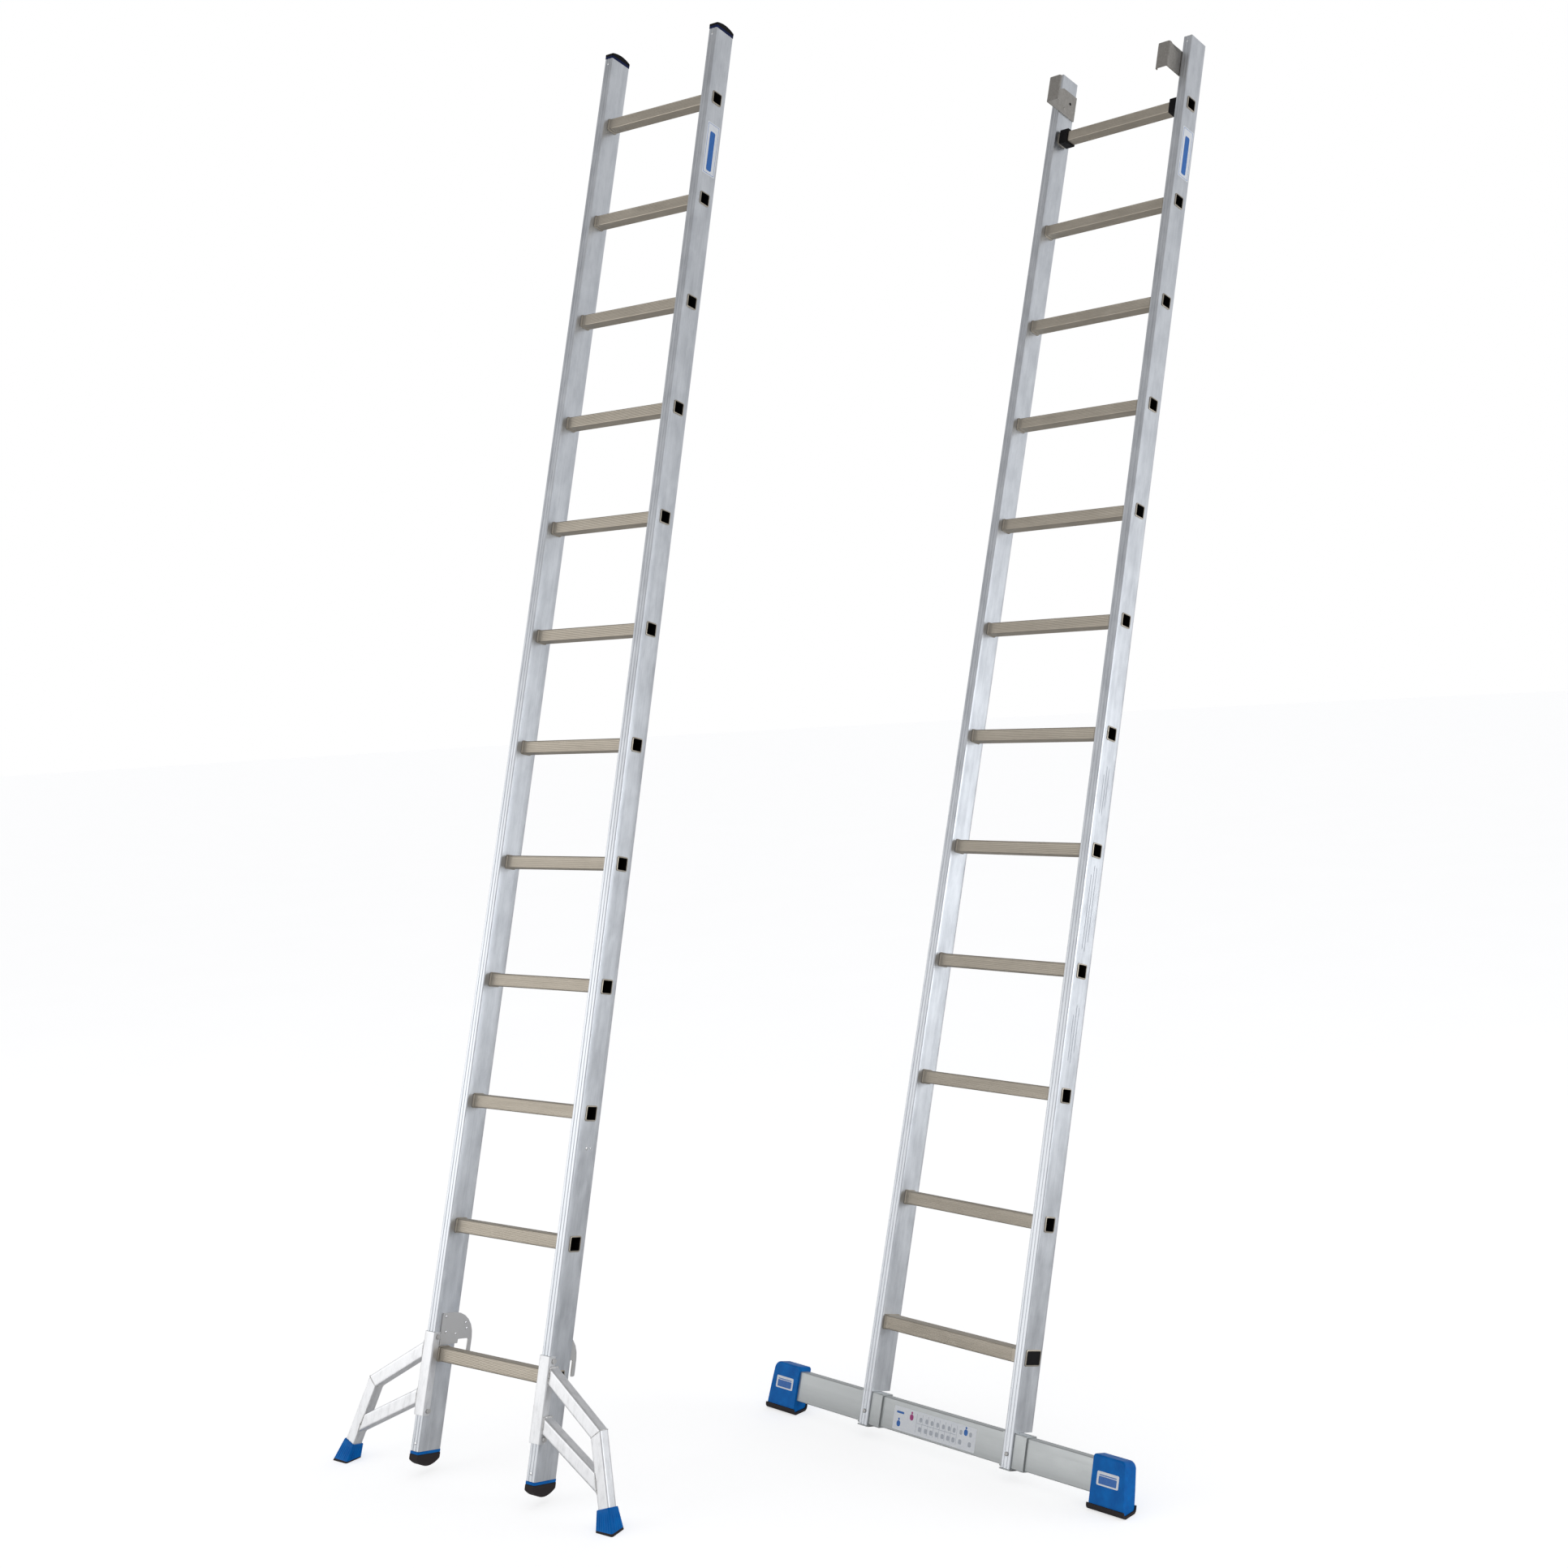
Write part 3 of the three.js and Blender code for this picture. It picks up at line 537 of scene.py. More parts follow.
    def turned(self, profile: Sequence[tuple[float, float]], centre: Sequence[float], axis: Axis,
               direction: float = 1.0, sides: int = 20, finish: int = 0, phase: float = 0.0) -> None:
        """Body turned about an axis: each (radius, height) pair of the profile becomes a ring.

        Args:
            profile: radius and height pairs from base to tip.
            centre: where height nought is.
            axis: the axis turned about.
            direction: 1 if heights run along the axis, -1 against it.
            sides: straight pieces around.
            finish: which finish the faces take.
            phase: turn of the first side, in radians.
        """
        radius, height = np.array(profile, float).T
        angle = phase + np.linspace(0, 2 * np.pi, sides, endpoint=False) * direction
        rings = np.empty((len(radius), sides, 3))
        first, second = [(axis.value + 1) % 3, (axis.value + 2) % 3]
        rings[:, :, first] = radius[:, None] * np.cos(angle)
        rings[:, :, second] = radius[:, None] * np.sin(angle)
        rings[:, :, axis.value] = (height * direction)[:, None]
        self.loft(rings + np.asarray(centre, float), finish)

    def bead(self, path: Array, normals: Array, radius: float, finish: int = 0, ripples: int = 26) -> None:
        """Weld laid round a closed path: a ring of round sections whose radius swells and narrows.

        The section at each point lies in the plane of the path's normal there and of the cross
        product of normal and direction; its radius is radius * (1 + 0.16 cos(ripples * angle)).

        Args:
            path: (m, 3) closed path.
            normals: (m, 3) directions away from the joint's middle.
            radius: the bead's mean radius.
            finish: which finish the faces take.
            ripples: swellings round the path.
        """
        ahead = np.roll(path, -1, axis=0) - np.roll(path, 1, axis=0)
        side = np.cross(ahead / np.linalg.norm(ahead, axis=1, keepdims=True), normals)
        swell = 1 + 0.16 * np.cos(np.linspace(0, 2 * np.pi * ripples, len(path), endpoint=False))
        angle = np.linspace(0, 2 * np.pi, 8, endpoint=False)
        rings = path[:, None] + radius * swell[:, None, None] * (
            np.cos(angle)[None, :, None] * normals[:, None] + np.sin(angle)[None, :, None] * side[:, None])
        self.loft(rings, finish, looped=True)


@dataclass(frozen=True)
class SectionFrame:
    """Where a section stands: its own axes in the world, read from two of its rungs."""

    body: str
    origin: Array
    across: Array
    depth: Array
    along: Array

    @classmethod
    def from_rungs(cls, body: str, prefix: str) -> "SectionFrame":
        """Reads the frame from the boxes of the lowest and the highest rung.

        The line between the two middles gives z. Its level part points away from the climber,
        so x is square to it and level, and y is the cross product of z and x.

        Args:
            body: the moving body that the section is.
            prefix: how the section's nodes are named.

        Returns:
            The section's frame, in metres.
        """
        low, high = (np.mean(np.array([list(corner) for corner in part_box(f"{prefix}_rung_{number:02d}")]), axis=0)
                     for number in (1, RUNG_COUNT))
        along = (high - low) / np.linalg.norm(high - low)
        across = np.array([along[1], -along[0], 0.0])
        across /= np.linalg.norm(across)
        return cls(body, low, across, np.cross(along, across), along)

    def world(self, points: Array) -> Array:
        """World metres of points in the section's own millimetres."""
        return self.origin + (points * MM) @ np.stack([self.across, self.depth, self.along])


def publish(surface: Surface, node: str, section: SectionFrame, stocks: Sequence[Stock],
            bevel: float = 0.0) -> bpy.types.Object:
    """Turns a surface into a piece that stands for a node.

    Args:
        surface: the piece's points and faces.
        node: the node that it replaces.
        section: the section that it belongs to.
        stocks: its finishes, in the order of the faces' numbers.
        bevel: width of the rounding of its sharp edges, in mm.

    Returns:
        The piece.
    """
    own = np.vstack(surface.points)
    mesh = bpy.data.meshes.new(f"{node}_finished")
    rows = [(row, finish) for rows, finish in surface.faces for row in rows.tolist()]
    mesh.from_pydata(section.world(own).tolist(), [], [row for row, _ in rows])
    mesh.polygons.foreach_set("material_index", [finish for _, finish in rows])
    mesh.attributes.new("own_place", "FLOAT_VECTOR", "POINT").data.foreach_set("vector", (own * MM).ravel())
    for stock in stocks:
        mesh.materials.append(stock.material())
    mesh.polygons.foreach_set("use_smooth", [True] * len(rows))
    if not bevel:
        mesh.set_sharp_from_angle(angle=math.radians(32))
    mesh.validate()
    piece = bpy.data.objects.new(mesh.name, mesh)
    bpy.context.scene.collection.objects.link(piece)
    if bevel:
        rounding = piece.modifiers.new("edges", "BEVEL")
        rounding.width = bevel * MM
        rounding.segments = 2
        rounding.limit_method = "ANGLE"
        rounding.angle_limit = math.radians(32)
        rounding.harden_normals = True
        rounding.use_clamp_overlap = True
    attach(piece, section.body)
    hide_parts(node)
    LOG.info("%s: %d points", node, surface.count)
    return piece


DOME = ((1.0, 0.0), (1.0, 0.25), (0.92, 0.55), (0.72, 0.82), (0.42, 0.97), (0.12, 1.0))


def rivet(surface: Surface, centre: Sequence[float], axis: Axis, direction: float, radius: float,
          height: float, finish: int) -> None:
    """Domed head: radius and height follow a flattened quarter round.

    Args:
        surface: where it is added.
        centre: middle of its foot.
        axis: the axis it stands along.
        direction: 1 or -1 along that axis.
        radius: of the foot.
        height: of the dome.
        finish: which finish it takes.
    """
    surface.turned([(share * radius, rise * height) for share, rise in DOME], centre, axis, direction,
                   18, finish)


# ---- stiles and rungs -----------------------------------------------------------------------


@dataclass
class Stile:
    """Hollow upright with two shallow grooves down its front."""

    width: float = 26.0
    depth: float = 65.0
    side_wall: float = 2.0
    face_wall: float = 3.2
    corner: float = 2.5
    groove_width: float = 2.2
    groove_depth: float = 0.9
    groove_spacing: float = 9.0
    strip: float = 4.0
    hole: float = 30.2
    top: float = 3268.0

    def front(self, middle: float) -> list[Corner]:
        """Corners along the front face from left to right, with both grooves."""
        face = -self.depth / 2
        corners: list[Corner] = [(middle - self.width / 2, face, self.corner)]
        for centre in (middle - self.groove_spacing / 2, middle + self.groove_spacing / 2):
            half = self.groove_width / 2
            corners += [(centre - half, face, 0.3), (centre - half, face + self.groove_depth, 0.3),
                        (centre + half, face + self.groove_depth, 0.3), (centre + half, face, 0.3)]
        return corners + [(middle + self.width / 2, face, self.corner)]

    def profile(self, middle: float, marks: Sequence[float]) -> Array:
        """Outline across the stile, with points on both sides at the depths of the rung holes."""
        half = self.width / 2
        right = [(middle + half, mark) for mark in sorted(marks)]
        left = [(middle - half, mark) for mark in sorted(marks, reverse=True)]
        back = [(middle + half, self.depth / 2, self.corner), (middle - half, self.depth / 2, self.corner)]
        return filleted([*self.front(middle), *right, *back, *left], 5)

    def build(self, surface: Surface, middle: float, bottom: float, hole_depths: Sequence[float]) -> None:
        """Adds the walled extrusion with a hole for every rung through both sides.

        Args:
            surface: where it is added.
            middle: the stile's middle across the ladder.
            bottom: where it starts.
            hole_depths: depth of each rung's hole from front to back.
        """
        marks = sorted({sign * depth / 2 for depth in hole_depths for sign in (-1, 1)})
        outline = self.profile(middle, marks)
        heights = np.arange(RUNG_COUNT) * RUNG_PITCH
        edges = np.stack([heights - self.hole / 2, heights + self.hole / 2], axis=1).ravel()
        stations = np.concatenate([[bottom], edges[edges > bottom], [self.top]])
        shrink = np.array([1 - 2 * self.side_wall / self.width, 1 - 2 * self.face_wall / self.depth])
        core = (outline - (middle, 0)) * shrink + (middle, 0)
        rings = [np.concatenate([np.broadcast_to(ring, (len(stations), *ring.shape)),
                                 np.broadcast_to(stations[:, None, None], (len(stations), len(ring), 1))], axis=2)
                 for ring in (outline, core)]
        centre = (outline + np.roll(outline, -1, axis=0)) / 2
        on_side = np.abs(np.abs(centre[:, 0] - middle) - self.width / 2) < 0.01
        level = (stations[1:] + stations[:-1]) / 2
        depth_here = np.asarray(hole_depths)[np.clip(np.rint(level / RUNG_PITCH).astype(int), 0, RUNG_COUNT - 1)]
        in_hole = np.abs(level - np.rint(level / RUNG_PITCH) * RUNG_PITCH) < self.hole / 2
        in_hole &= (level > -self.hole) & (level < heights[-1] + self.hole)
        holes = in_hole[:, None] & on_side[None, :] & (np.abs(centre[None, :, 1]) < depth_here[:, None] / 2)
        surface.shell(*rings, holes)


@dataclass
class Rung:
    """Square tube, ribbed along its length, crimped on the stiles and flared outside them."""

    size: float = 30.0
    wall: float = 1.8
    corner: float = 3.0
    rib_pitch: float = 3.1
    rib_depth: float = 0.45
    rim_spread: float = 2.2
    rim_thickness: float = 1.6
    stile_width: float = 26.0

    def outline(self, depth: float) -> tuple[Array, Array, Array]:
        """Rounded rectangle as (y, z) points, their normals, and a rib height from -1 to 0.

        Along a flat side the height is a rounded square wave: -1 in the grooves between ribs.
        """
        points = divided(filleted(rectangle(-depth / 2, depth / 2, -self.size / 2, self.size / 2, self.corner), 5),
                         self.rib_pitch / 4)
        flat_y = np.abs(points[:, 0]) < depth / 2 - self.corner - 0.6
        flat_z = np.abs(points[:, 1]) < self.size / 2 - self.corner - 0.6
        run = np.where(flat_y, points[:, 0], points[:, 1])
        wave = np.clip(2.2 * np.cos(2 * np.pi * run / self.rib_pitch), -1, 1)
        return points, outward(points), np.where(flat_y | flat_z, (wave - 1) / 2, 0.0)

    def build(self, surface: Surface, outside: float, depth: float, height: float) -> None:
        """Adds one rung between the outsides of the stiles.

        Args:
            surface: where it is added.
            outside: half the ladder's width.
            depth: the tube's size from front to back.
            height: its middle above the bottom rung.
        """
        points, normals, ribs = self.outline(depth)
        end = outside + GAP + self.rim_thickness
        inner = outside - self.stile_width
        half = [(end, self.rim_spread * 0.55, 0.0), (end - 0.35, self.rim_spread * 0.9, 0.0),
                (end - 0.9, self.rim_spread, 0.0), (outside + GAP, self.rim_spread, 0.0),
                (outside + GAP, 0.0, 0.0), (inner - 0.2, 0.0, 0.0), (inner - 0.3, 1.5, 0.0),
                (inner - 1.2, 1.9, 0.0), (inner - 2.6, 1.8, 0.0), (inner - 3.8, 0.5, 0.2), (inner - 4.2, 0.0, 0.6),
                (inner - 13.0, 0.0, 0.8), (inner - 13.4, -0.7, 0.0), (inner - 14.6, -0.7, 0.0),
                (inner - 15.0, 0.0, 0.9), (inner - 16.0, 0.0, 1.0)]
        outer = np.array([(-x, grow, rib) for x, grow, rib in half] + half[::-1])
        core = np.array([(end, -self.wall * 0.4, 0.0), (end - 0.8, -self.wall, 0.0),
                         (-end + 0.8, -self.wall, 0.0), (-end, -self.wall * 0.4, 0.0)])
        # The core rings take the second finish, the near-black painted shade inside the tube.
        for stations, finish in ((outer, 0), (core, 1)):
            grow = stations[:, None, 1] + self.rib_depth * stations[:, None, 2] * ribs
            ring = points + normals * grow[..., None]
            rings = np.empty((len(stations), len(points), 3))
            rings[..., 0] = stations[:, None, 0]
            rings[..., 1:] = ring + (0, height)
            surface.loft(rings, finish, capped=False)
        self.close_ends(surface, len(outer), len(core), len(points))

    @staticmethod
    def close_ends(surface: Surface, outer: int, core: int, around: int) -> None:
        """Joins the last outer ring to the first core ring, and the last core ring to the first outer."""
        start = surface.count - (outer + core) * around
        index = np.arange(around)
        ahead = np.roll(index, -1)
        pairs = [(start + (outer - 1) * around, start + outer * around),
                 (start + (outer + core - 1) * around, start)]
        rims = [np.stack([one + index, one + ahead, two + ahead, two + index], axis=-1) for one, two in pairs]
        surface.faces += [(rim, 0) for rim in rims]


def add_rungs(section: SectionFrame, prefix: str, outside: float, depths: Sequence[float]) -> None:
    """Builds a section's rungs; a rung deeper than the rest has a plug in each end.

    Args:
        section: the section.
        prefix: how its nodes are named.
        outside: half the section's width.
        depths: each rung's size from front to back.
    """
    rung = Rung()
    for index, depth in enumerate(depths):
        surface = Surface()
        rung.build(surface, outside, depth, index * RUNG_PITCH)
        if depth > rung.size:
            for side in Side:
                face = side.value * (outside + 1.2)
                plug = divided(filleted(rectangle(-depth / 2 + 1.7, depth / 2 - 1.7, -13.3, 13.3, 2.4), 4), 8)
                inner = face - side.value * 14
                surface.prism(Axis.ACROSS, plug, min(face, inner), max(face, inner), 2)
        publish(surface, f"{prefix}_rung_{index + 1:02d}", section, (Stock.RUNG, Stock.INSIDE, Stock.BLACK))


def film(surface: Surface, side: float, face: float, middle: tuple[float, float], size: tuple[float, float],
         finish: int, lift: float = 0.12, radius: float = 2.0) -> None:
    """Thin rounded film on the outer side of a stile, as (y, z) on the plane x = face."""
    outline = filleted(rectangle(middle[0] - size[0] / 2, middle[0] + size[0] / 2,
                                 middle[1] - size[1] / 2, middle[1] + size[1] / 2, radius), 4)
    surface.prism(Axis.ACROSS, outline, min(face, face + side * lift), max(face, face + side * lift), finish)


# ---- base section ---------------------------------------------------------------------------


@dataclass
class BaseSection:
    """The wide section with guide hooks at its top and a crossbar at its foot."""

    section: SectionFrame
    stile: Stile = field(default_factory=Stile)
    width: float = 452.0
    lean: float = 17.0
    rung_height: float = 235.3
    tread: float = 48.0
    sheet: float = 3.0
    hook_front: float = -88.5
    hook_reach: float = 38.0
    hook_lip: float = 9.0
    hook_bend: float = 5.0
    hook_low: float = 3154.0
    hook_high: float = 3227.0
    glide_middle: float = 182.0
    glide_width: float = 27.0
    bar_front: float = -25.4
    bar_back: float = 2.6
    bar_bottom: float = -222.0
    bar_top: float = -156.0
    bar_half: float = 512.0
    bar_wall: float = 2.0
    saddle_sheet: float = 2.5
    saddle_top: float = -153.2
    strip_end: float = -226.0
    cap_inner: float = 440.0
    cap_outer: float = 522.0
    cap_flare: float = 9.0
    cap_wall: float = 5.3
    cap_top: float = -146.0
    sole_wrap: float = 15.0
    sole_spread: float = 2.4

    @property
    def middle(self) -> float:
        """Middle of a stile across the ladder."""
        return self.width / 2 - self.stile.width / 2

    def floor(self, depth: Any) -> Any:
        """Height of the floor under a depth: (y sin lean - rung height) / cos lean."""
        lean = math.radians(self.lean)
        return (depth * math.sin(lean) - self.rung_height) / math.cos(lean)

    def publish(self, surface: Surface, node: str, stocks: Sequence[Stock], slot: str, bevel: float = 0.0) -> None:
        """Publishes a piece of this section."""
        publish(surface, node, self.section, stocks, bevel)

    def stiles(self) -> None:
        """Both uprights, with the front strips that run down over the crossbar."""
        for side in Side:
            middle = side.value * self.middle
            surface = Surface()
            depths = [self.tread + 0.2] + [self.stile.hole] * (RUNG_COUNT - 1)
            self.stile.build(surface, middle, self.saddle_top + GAP, depths)
            face = -self.stile.depth / 2
            half, behind = self.stile.width / 2, face + self.stile.strip
            strip = filleted([*self.stile.front(middle), (middle + half, behind, 0.4),
                              (middle - half, behind, 0.4)], 5)
            surface.prism(Axis.ALONG, strip, self.strip_end, self.saddle_top + GAP + 0.5)
            rivet(surface, (middle, face - 0.02, self.stile.top - 15), Axis.DEPTH, -1, 3.3, 0.9, 1)
            if side is Side.RIGHT:
                outside = middle + self.stile.width / 2
                film(surface, 1, outside, (4, 2938), (46, 142), 2)
                film(surface, 1, outside + 0.12, (4, 2938), (40, 136), 3, 0.04)
                film(surface, 1, outside + 0.16, (4, 2938), (38, 134), 2, 0.04)
                film(surface, 1, outside + 0.20, (3, 2932), (19, 108), 3, 0.05, 5)
                for middle_z, length in ((1262, 120), (985, 200), (698, 130)):
                    for row in (-9, 0, 9):
                        film(surface, 1, outside, (row, middle_z + row), (2.2, length - 3 * abs(row)), 4, 0.1, 1)
            self.publish(surface, f"base_stile_{side.label}",
                         (Stock.STILE, Stock.BRIGHT_RIVET, Stock.PALE_FILM, Stock.BLUE_FILM, Stock.GREY_FILM),
                         "stile_aluminium")

    def hook_top(self, outline: Array) -> Array:
        """Upper edge of a guide hook at each point of its outline.

        Straight on the front plate. On the side plate the edge sags between two ends: with q the
        distance from the middle of the sag over the half width of its bend, the height is
        a (1 + q^2) / 2 + b (1 - q^2) / 2 inside the bend and a straight slope outside it.
        """
        start, end = self.hook_front + 9, -self.stile.depth / 2 + 6
        middle, half, drop = (start + end) / 2, (end - start) / 2, 18.0
        bend = drop * half / math.hypot(half, drop)
        away = np.abs(outline[:, 1] - middle)
        slope = self.hook_high - drop * np.clip((half - away) / half, 0, 1)
        level = self.hook_high - drop * (half - bend) / half
        ratio = (away / bend) ** 2
        sag = level * (1 + ratio) / 2 + (self.hook_high - drop) * (1 - ratio) / 2
        return np.where(away < bend, sag, slope)

    def guide_hooks(self) -> None:
        """Bent sheets that hold the other section's stiles, each with a dark rivet."""
        for side in Side:
            sign = side.value
            plate = sign * (self.width / 2 - self.stile.width - GAP)
            inward = plate - sign * self.hook_reach
            thick = sign * self.sheet
            front, bend = self.hook_front, self.hook_bend
            corners = [(plate, self.stile.depth / 2, 0.6), (plate, front, bend), (inward, front, bend),
                       (inward, front + self.hook_lip, 0.6), (inward + thick, front + self.hook_lip, 0.6),
                       (inward + thick, front + self.sheet, bend - self.sheet),
                       (plate - thick, front + self.sheet, bend - self.sheet),
                       (plate - thick, self.stile.depth / 2, 0.6)]
            outline = divided(filleted(corners, 5), 3.0)
            surface = Surface()
            surface.prism(Axis.ALONG, outline, self.hook_low, self.hook_top(outline))
            rivet(surface, (plate - thick, 8.0, 3196.0), Axis.ACROSS, -sign, 4.0, 1.4, 1)
            rivet(surface, (plate - thick, -14.0, 3172.0), Axis.ACROSS, -sign, 3.0, 0.7, 0)
            self.publish(surface, f"guide_hook_{side.label}", (Stock.PRESSED, Stock.DARK_RIVET), "hook_steel", 0.5)

    def glide_blocks(self) -> None:
        """Plastic blocks round the top rung."""
        height = (RUNG_COUNT - 1) * RUNG_PITCH
        for side in Side:
            middle = side.value * self.glide_middle
            low, high = middle - self.glide_width / 2, middle + self.glide_width / 2
            surface = Surface()
            hollow_bar(surface, Axis.ACROSS, rectangle(-18.3, 18.3, height - 18.3, height + 22.3, 2.6),
                       rectangle(-15.4, 15.4, height - 15.4, height + 15.4, 2.4), low, high)
            for level in (-11.0, -5.5, 0.0, 5.5, 11.0):
                groove = filleted(rectangle(low + 3, high - 3, height + level - 0.9, height + level + 0.9, 0.7), 2)
                surface.prism(Axis.DEPTH, groove, -18.75, -18.0)
            self.publish(surface, f"glide_block_{side.label}", (Stock.BLACK,), "black_plastic", 0.5)

    def crossbar(self) -> None:
        """Hollow bar with a pale chart on its front: cells, lines and coloured spots only."""
        surface = Surface()
        hollow_bar(surface, Axis.ACROSS,
                   rectangle(self.bar_front, self.bar_back, self.bar_bottom, self.bar_top, 2.0),
                   rectangle(self.bar_front + self.bar_wall, self.bar_back - self.bar_wall,
                             self.bar_bottom + self.bar_wall, self.bar_top - self.bar_wall, 0.8),
                   -self.bar_half, self.bar_half)
        face = self.bar_front

        def patch(a0: float, a1: float, b0: float, b1: float, lift: float, finish: int, radius: float) -> None:
            """Film on the bar's front between two x and two z, raised by `lift`."""
            surface.prism(Axis.DEPTH, filleted(rectangle(a0, a1, b0, b1, radius), 4), face - lift,
                          face - lift + 0.1, finish)

        patch(-128, 118, -217, -167, 0.15, 1, 3)
        for edge in np.linspace(-58, 62, 8):
            patch(edge - 0.5, edge + 0.5, -211, -172, 0.19, 3, 0.3)
        patch(-56, 60, -192, -191, 0.19, 3, 0.3)
        for x, z, finish in ((-74, -183, 4), (-111, -203, 2), (88, -181, 2)):
            patch(x - 5.5, x + 5.5, z - 6.5, z + 6.5, 0.20, finish, 5.2)
            patch(x - 2.6, x + 2.6, z + 6.8, z + 12.0, 0.20, finish, 2.5)
        patch(-120, -98, -181.5, -177, 0.20, 2, 1.6)
        for x in (-46, -28, -12, 5, 22, 39, 54, 74, 102):
            patch(x - 4.5, x + 4.5, -208, -198, 0.19, 3, 3)
            patch(x - 4.0, x + 4.0, -188, -178, 0.185, 3, 3.5)
        self.publish(surface, "crossbar", (Stock.BAR, Stock.PALE_FILM, Stock.BLUE_FILM, Stock.GREY_FILM,
                                           Stock.RED_FILM), "bar_aluminium")

    def saddles(self) -> None:
        """Sleeves round the crossbar, each with a raised rib and a toe under the strip, and their screws."""
        sleeve = self.saddle_sheet + GAP
        low_z, high_z = self.bar_bottom - sleeve, self.saddle_top
        front, back = self.bar_front - sleeve, self.bar_back + sleeve
        bore = rectangle(self.bar_front - GAP, self.bar_back + GAP, self.bar_bottom - GAP, self.bar_top + GAP, 1.6)
        for side in Side:
            middle = side.value * self.middle
            surface = Surface()
            hollow_bar(surface, Axis.ACROSS, rectangle(front, back, low_z, high_z, 2.2), bore,
                       middle - 20, middle + 36.5)
            hollow_bar(surface, Axis.ACROSS, rectangle(front - 1.6, back, low_z, high_z, 2.6), bore,
                       middle + 36, middle + 47)
            toe_top = self.strip_end - GAP
            surface.prism(Axis.ACROSS, filleted(rectangle(-33.5, back, toe_top - 2.6, toe_top, 1.0), 3),
                          middle - 15, middle + 15)
            surface.prism(Axis.ACROSS, filleted(rectangle(front, back, toe_top - 2.6, low_z + 1, 0.4), 2),
                          middle - 15, middle + 15)
            self.publish(surface, f"crossbar_saddle_{side.label}", (Stock.BAR,), "bar_aluminium", 0.5)
            screw = Surface()
            level = self.bar_bottom + 25
            profile = [(4.6, 0.0), (4.6, 0.7), (4.2, 1.6), (3.1, 2.4), (2.0, 2.6), (1.7, 1.5), (0.4, 1.2)]
            screw.turned(profile, (middle, -self.stile.depth / 2 - GAP, level), Axis.DEPTH, -1, 24)
            screw.turned([(2.4, 0), (2.4, 14)], (middle, -self.stile.depth / 2, level), Axis.DEPTH, 1, 12)
            self.publish(screw, f"crossbar_screw_{side.label}", (Stock.ZINC,), "zinc_steel")

    def cap_rings(self, sign: float) -> Array:
        """Rings of a crossbar cap, from its open end to its outer end.

        Every ring is the outline across the bar. Its points go out along x by the same share of
        the way to the leaning outer face, and the part above the middle is squeezed down by a
        quarter round, top - r (1 - sqrt(1 - u^2)), so that the outer top corner is rounded.
        """
        front, back = self.bar_front - self.cap_wall, self.bar_back + self.cap_wall
        sole = 6.3
        outline = divided(filleted([(front, self.cap_top, 4.5), (front, self.floor(front) + sole, 6.6),
                                    (back, self.floor(back) + sole, 6.6), (back, self.cap_top, 4.5)], 5), 4.0)
        round_off, waist, low = 13.0, -200.0, self.floor(-65.0)
        share = np.concatenate([[0, 0.012, 0.03], np.linspace(0.1, 0.8, 8),
                                1 - 0.17 * (1 - np.linspace(0, 1, 9)) ** 2])
        outer = self.cap_outer + self.cap_flare * (self.cap_top - outline[:, 1]) / (self.cap_top - low)
        reach = self.cap_inner + share[:, None] * (outer - self.cap_inner)[None, :]
        far = self.cap_inner + share * (self.cap_outer - self.cap_inner) - (self.cap_outer - round_off)
        drop = round_off * (1 - np.sqrt(1 - np.clip(far / round_off, 0, 1) ** 2))
        drop += 2.0 * np.clip(1 - share / 0.03, 0, 1) ** 2
        squeeze = (self.cap_top - drop - waist) / (self.cap_top - waist)
        height = np.where(outline[None, :, 1] > waist, waist + (outline[None, :, 1] - waist) * squeeze[:, None],
                          outline[None, :, 1])
        rings = np.stack([sign * reach, np.broadcast_to(outline[:, 0], reach.shape), height], axis=-1)
        return rings if sign > 0 else rings[:, ::-1]

    def caps(self) -> None:
        """Blue end caps with a blank panel on the front, and their rubber soles."""
        for side in Side:
            sign = side.value
            cap = Surface()
            cap.loft(self.cap_rings(sign))
            face = self.bar_front - self.cap_wall
            inner, outer = sign * (self.cap_inner + 14), sign * (self.cap_inner + 70)
            ends = (min(inner, outer), max(inner, outer))
            cap.prism(Axis.DEPTH, filleted(rectangle(*ends, -203, -176, 3.0), 4), face - 0.3, face + 1, 1)
            cap.prism(Axis.DEPTH, filleted(rectangle(ends[0] + 5, ends[1] - 5, -200, -185, 2.0), 4),
                      face - 0.36, face - 0.26, 2)
            cap.prism(Axis.DEPTH, filleted(rectangle(ends[0] + 6, ends[1] - 6, -183.5, -181.5, 0.8), 3),
                      face - 0.36, face - 0.26, 2)
            self.publish(cap, f"crossbar_cap_{side.label}", (Stock.BLUE, Stock.PALE_FILM, Stock.BLUE_FILM),
                         "blue_plastic", 1.2)
            front, back = face - GAP - self.sole_spread, -face - 22.8 + GAP + self.sole_spread
            front_in, back_in = front + self.sole_spread, back - self.sole_spread
            wrap = self.sole_wrap
            channel = filleted([
                (front, self.floor(front) + wrap, 0.8), (front, self.floor(front), 9.0),
                (back, self.floor(back), 9.0), (back, self.floor(back) + wrap, 0.8),
                (back_in, self.floor(back_in) + wrap, 0.8), (back_in, self.floor(back_in) + 6, 6.6),
                (front_in, self.floor(front_in) + 6, 6.6), (front_in, self.floor(front_in) + wrap, 0.8)], 5)
            ends = (sign * (self.cap_inner - 4), sign * (self.cap_outer + self.cap_flare + 1))
            sole = Surface()
            sole.prism(Axis.ACROSS, channel, min(ends), max(ends))
            self.publish(sole, f"crossbar_sole_{side.label}", (Stock.RUBBER,), "black_rubber", 1.0)

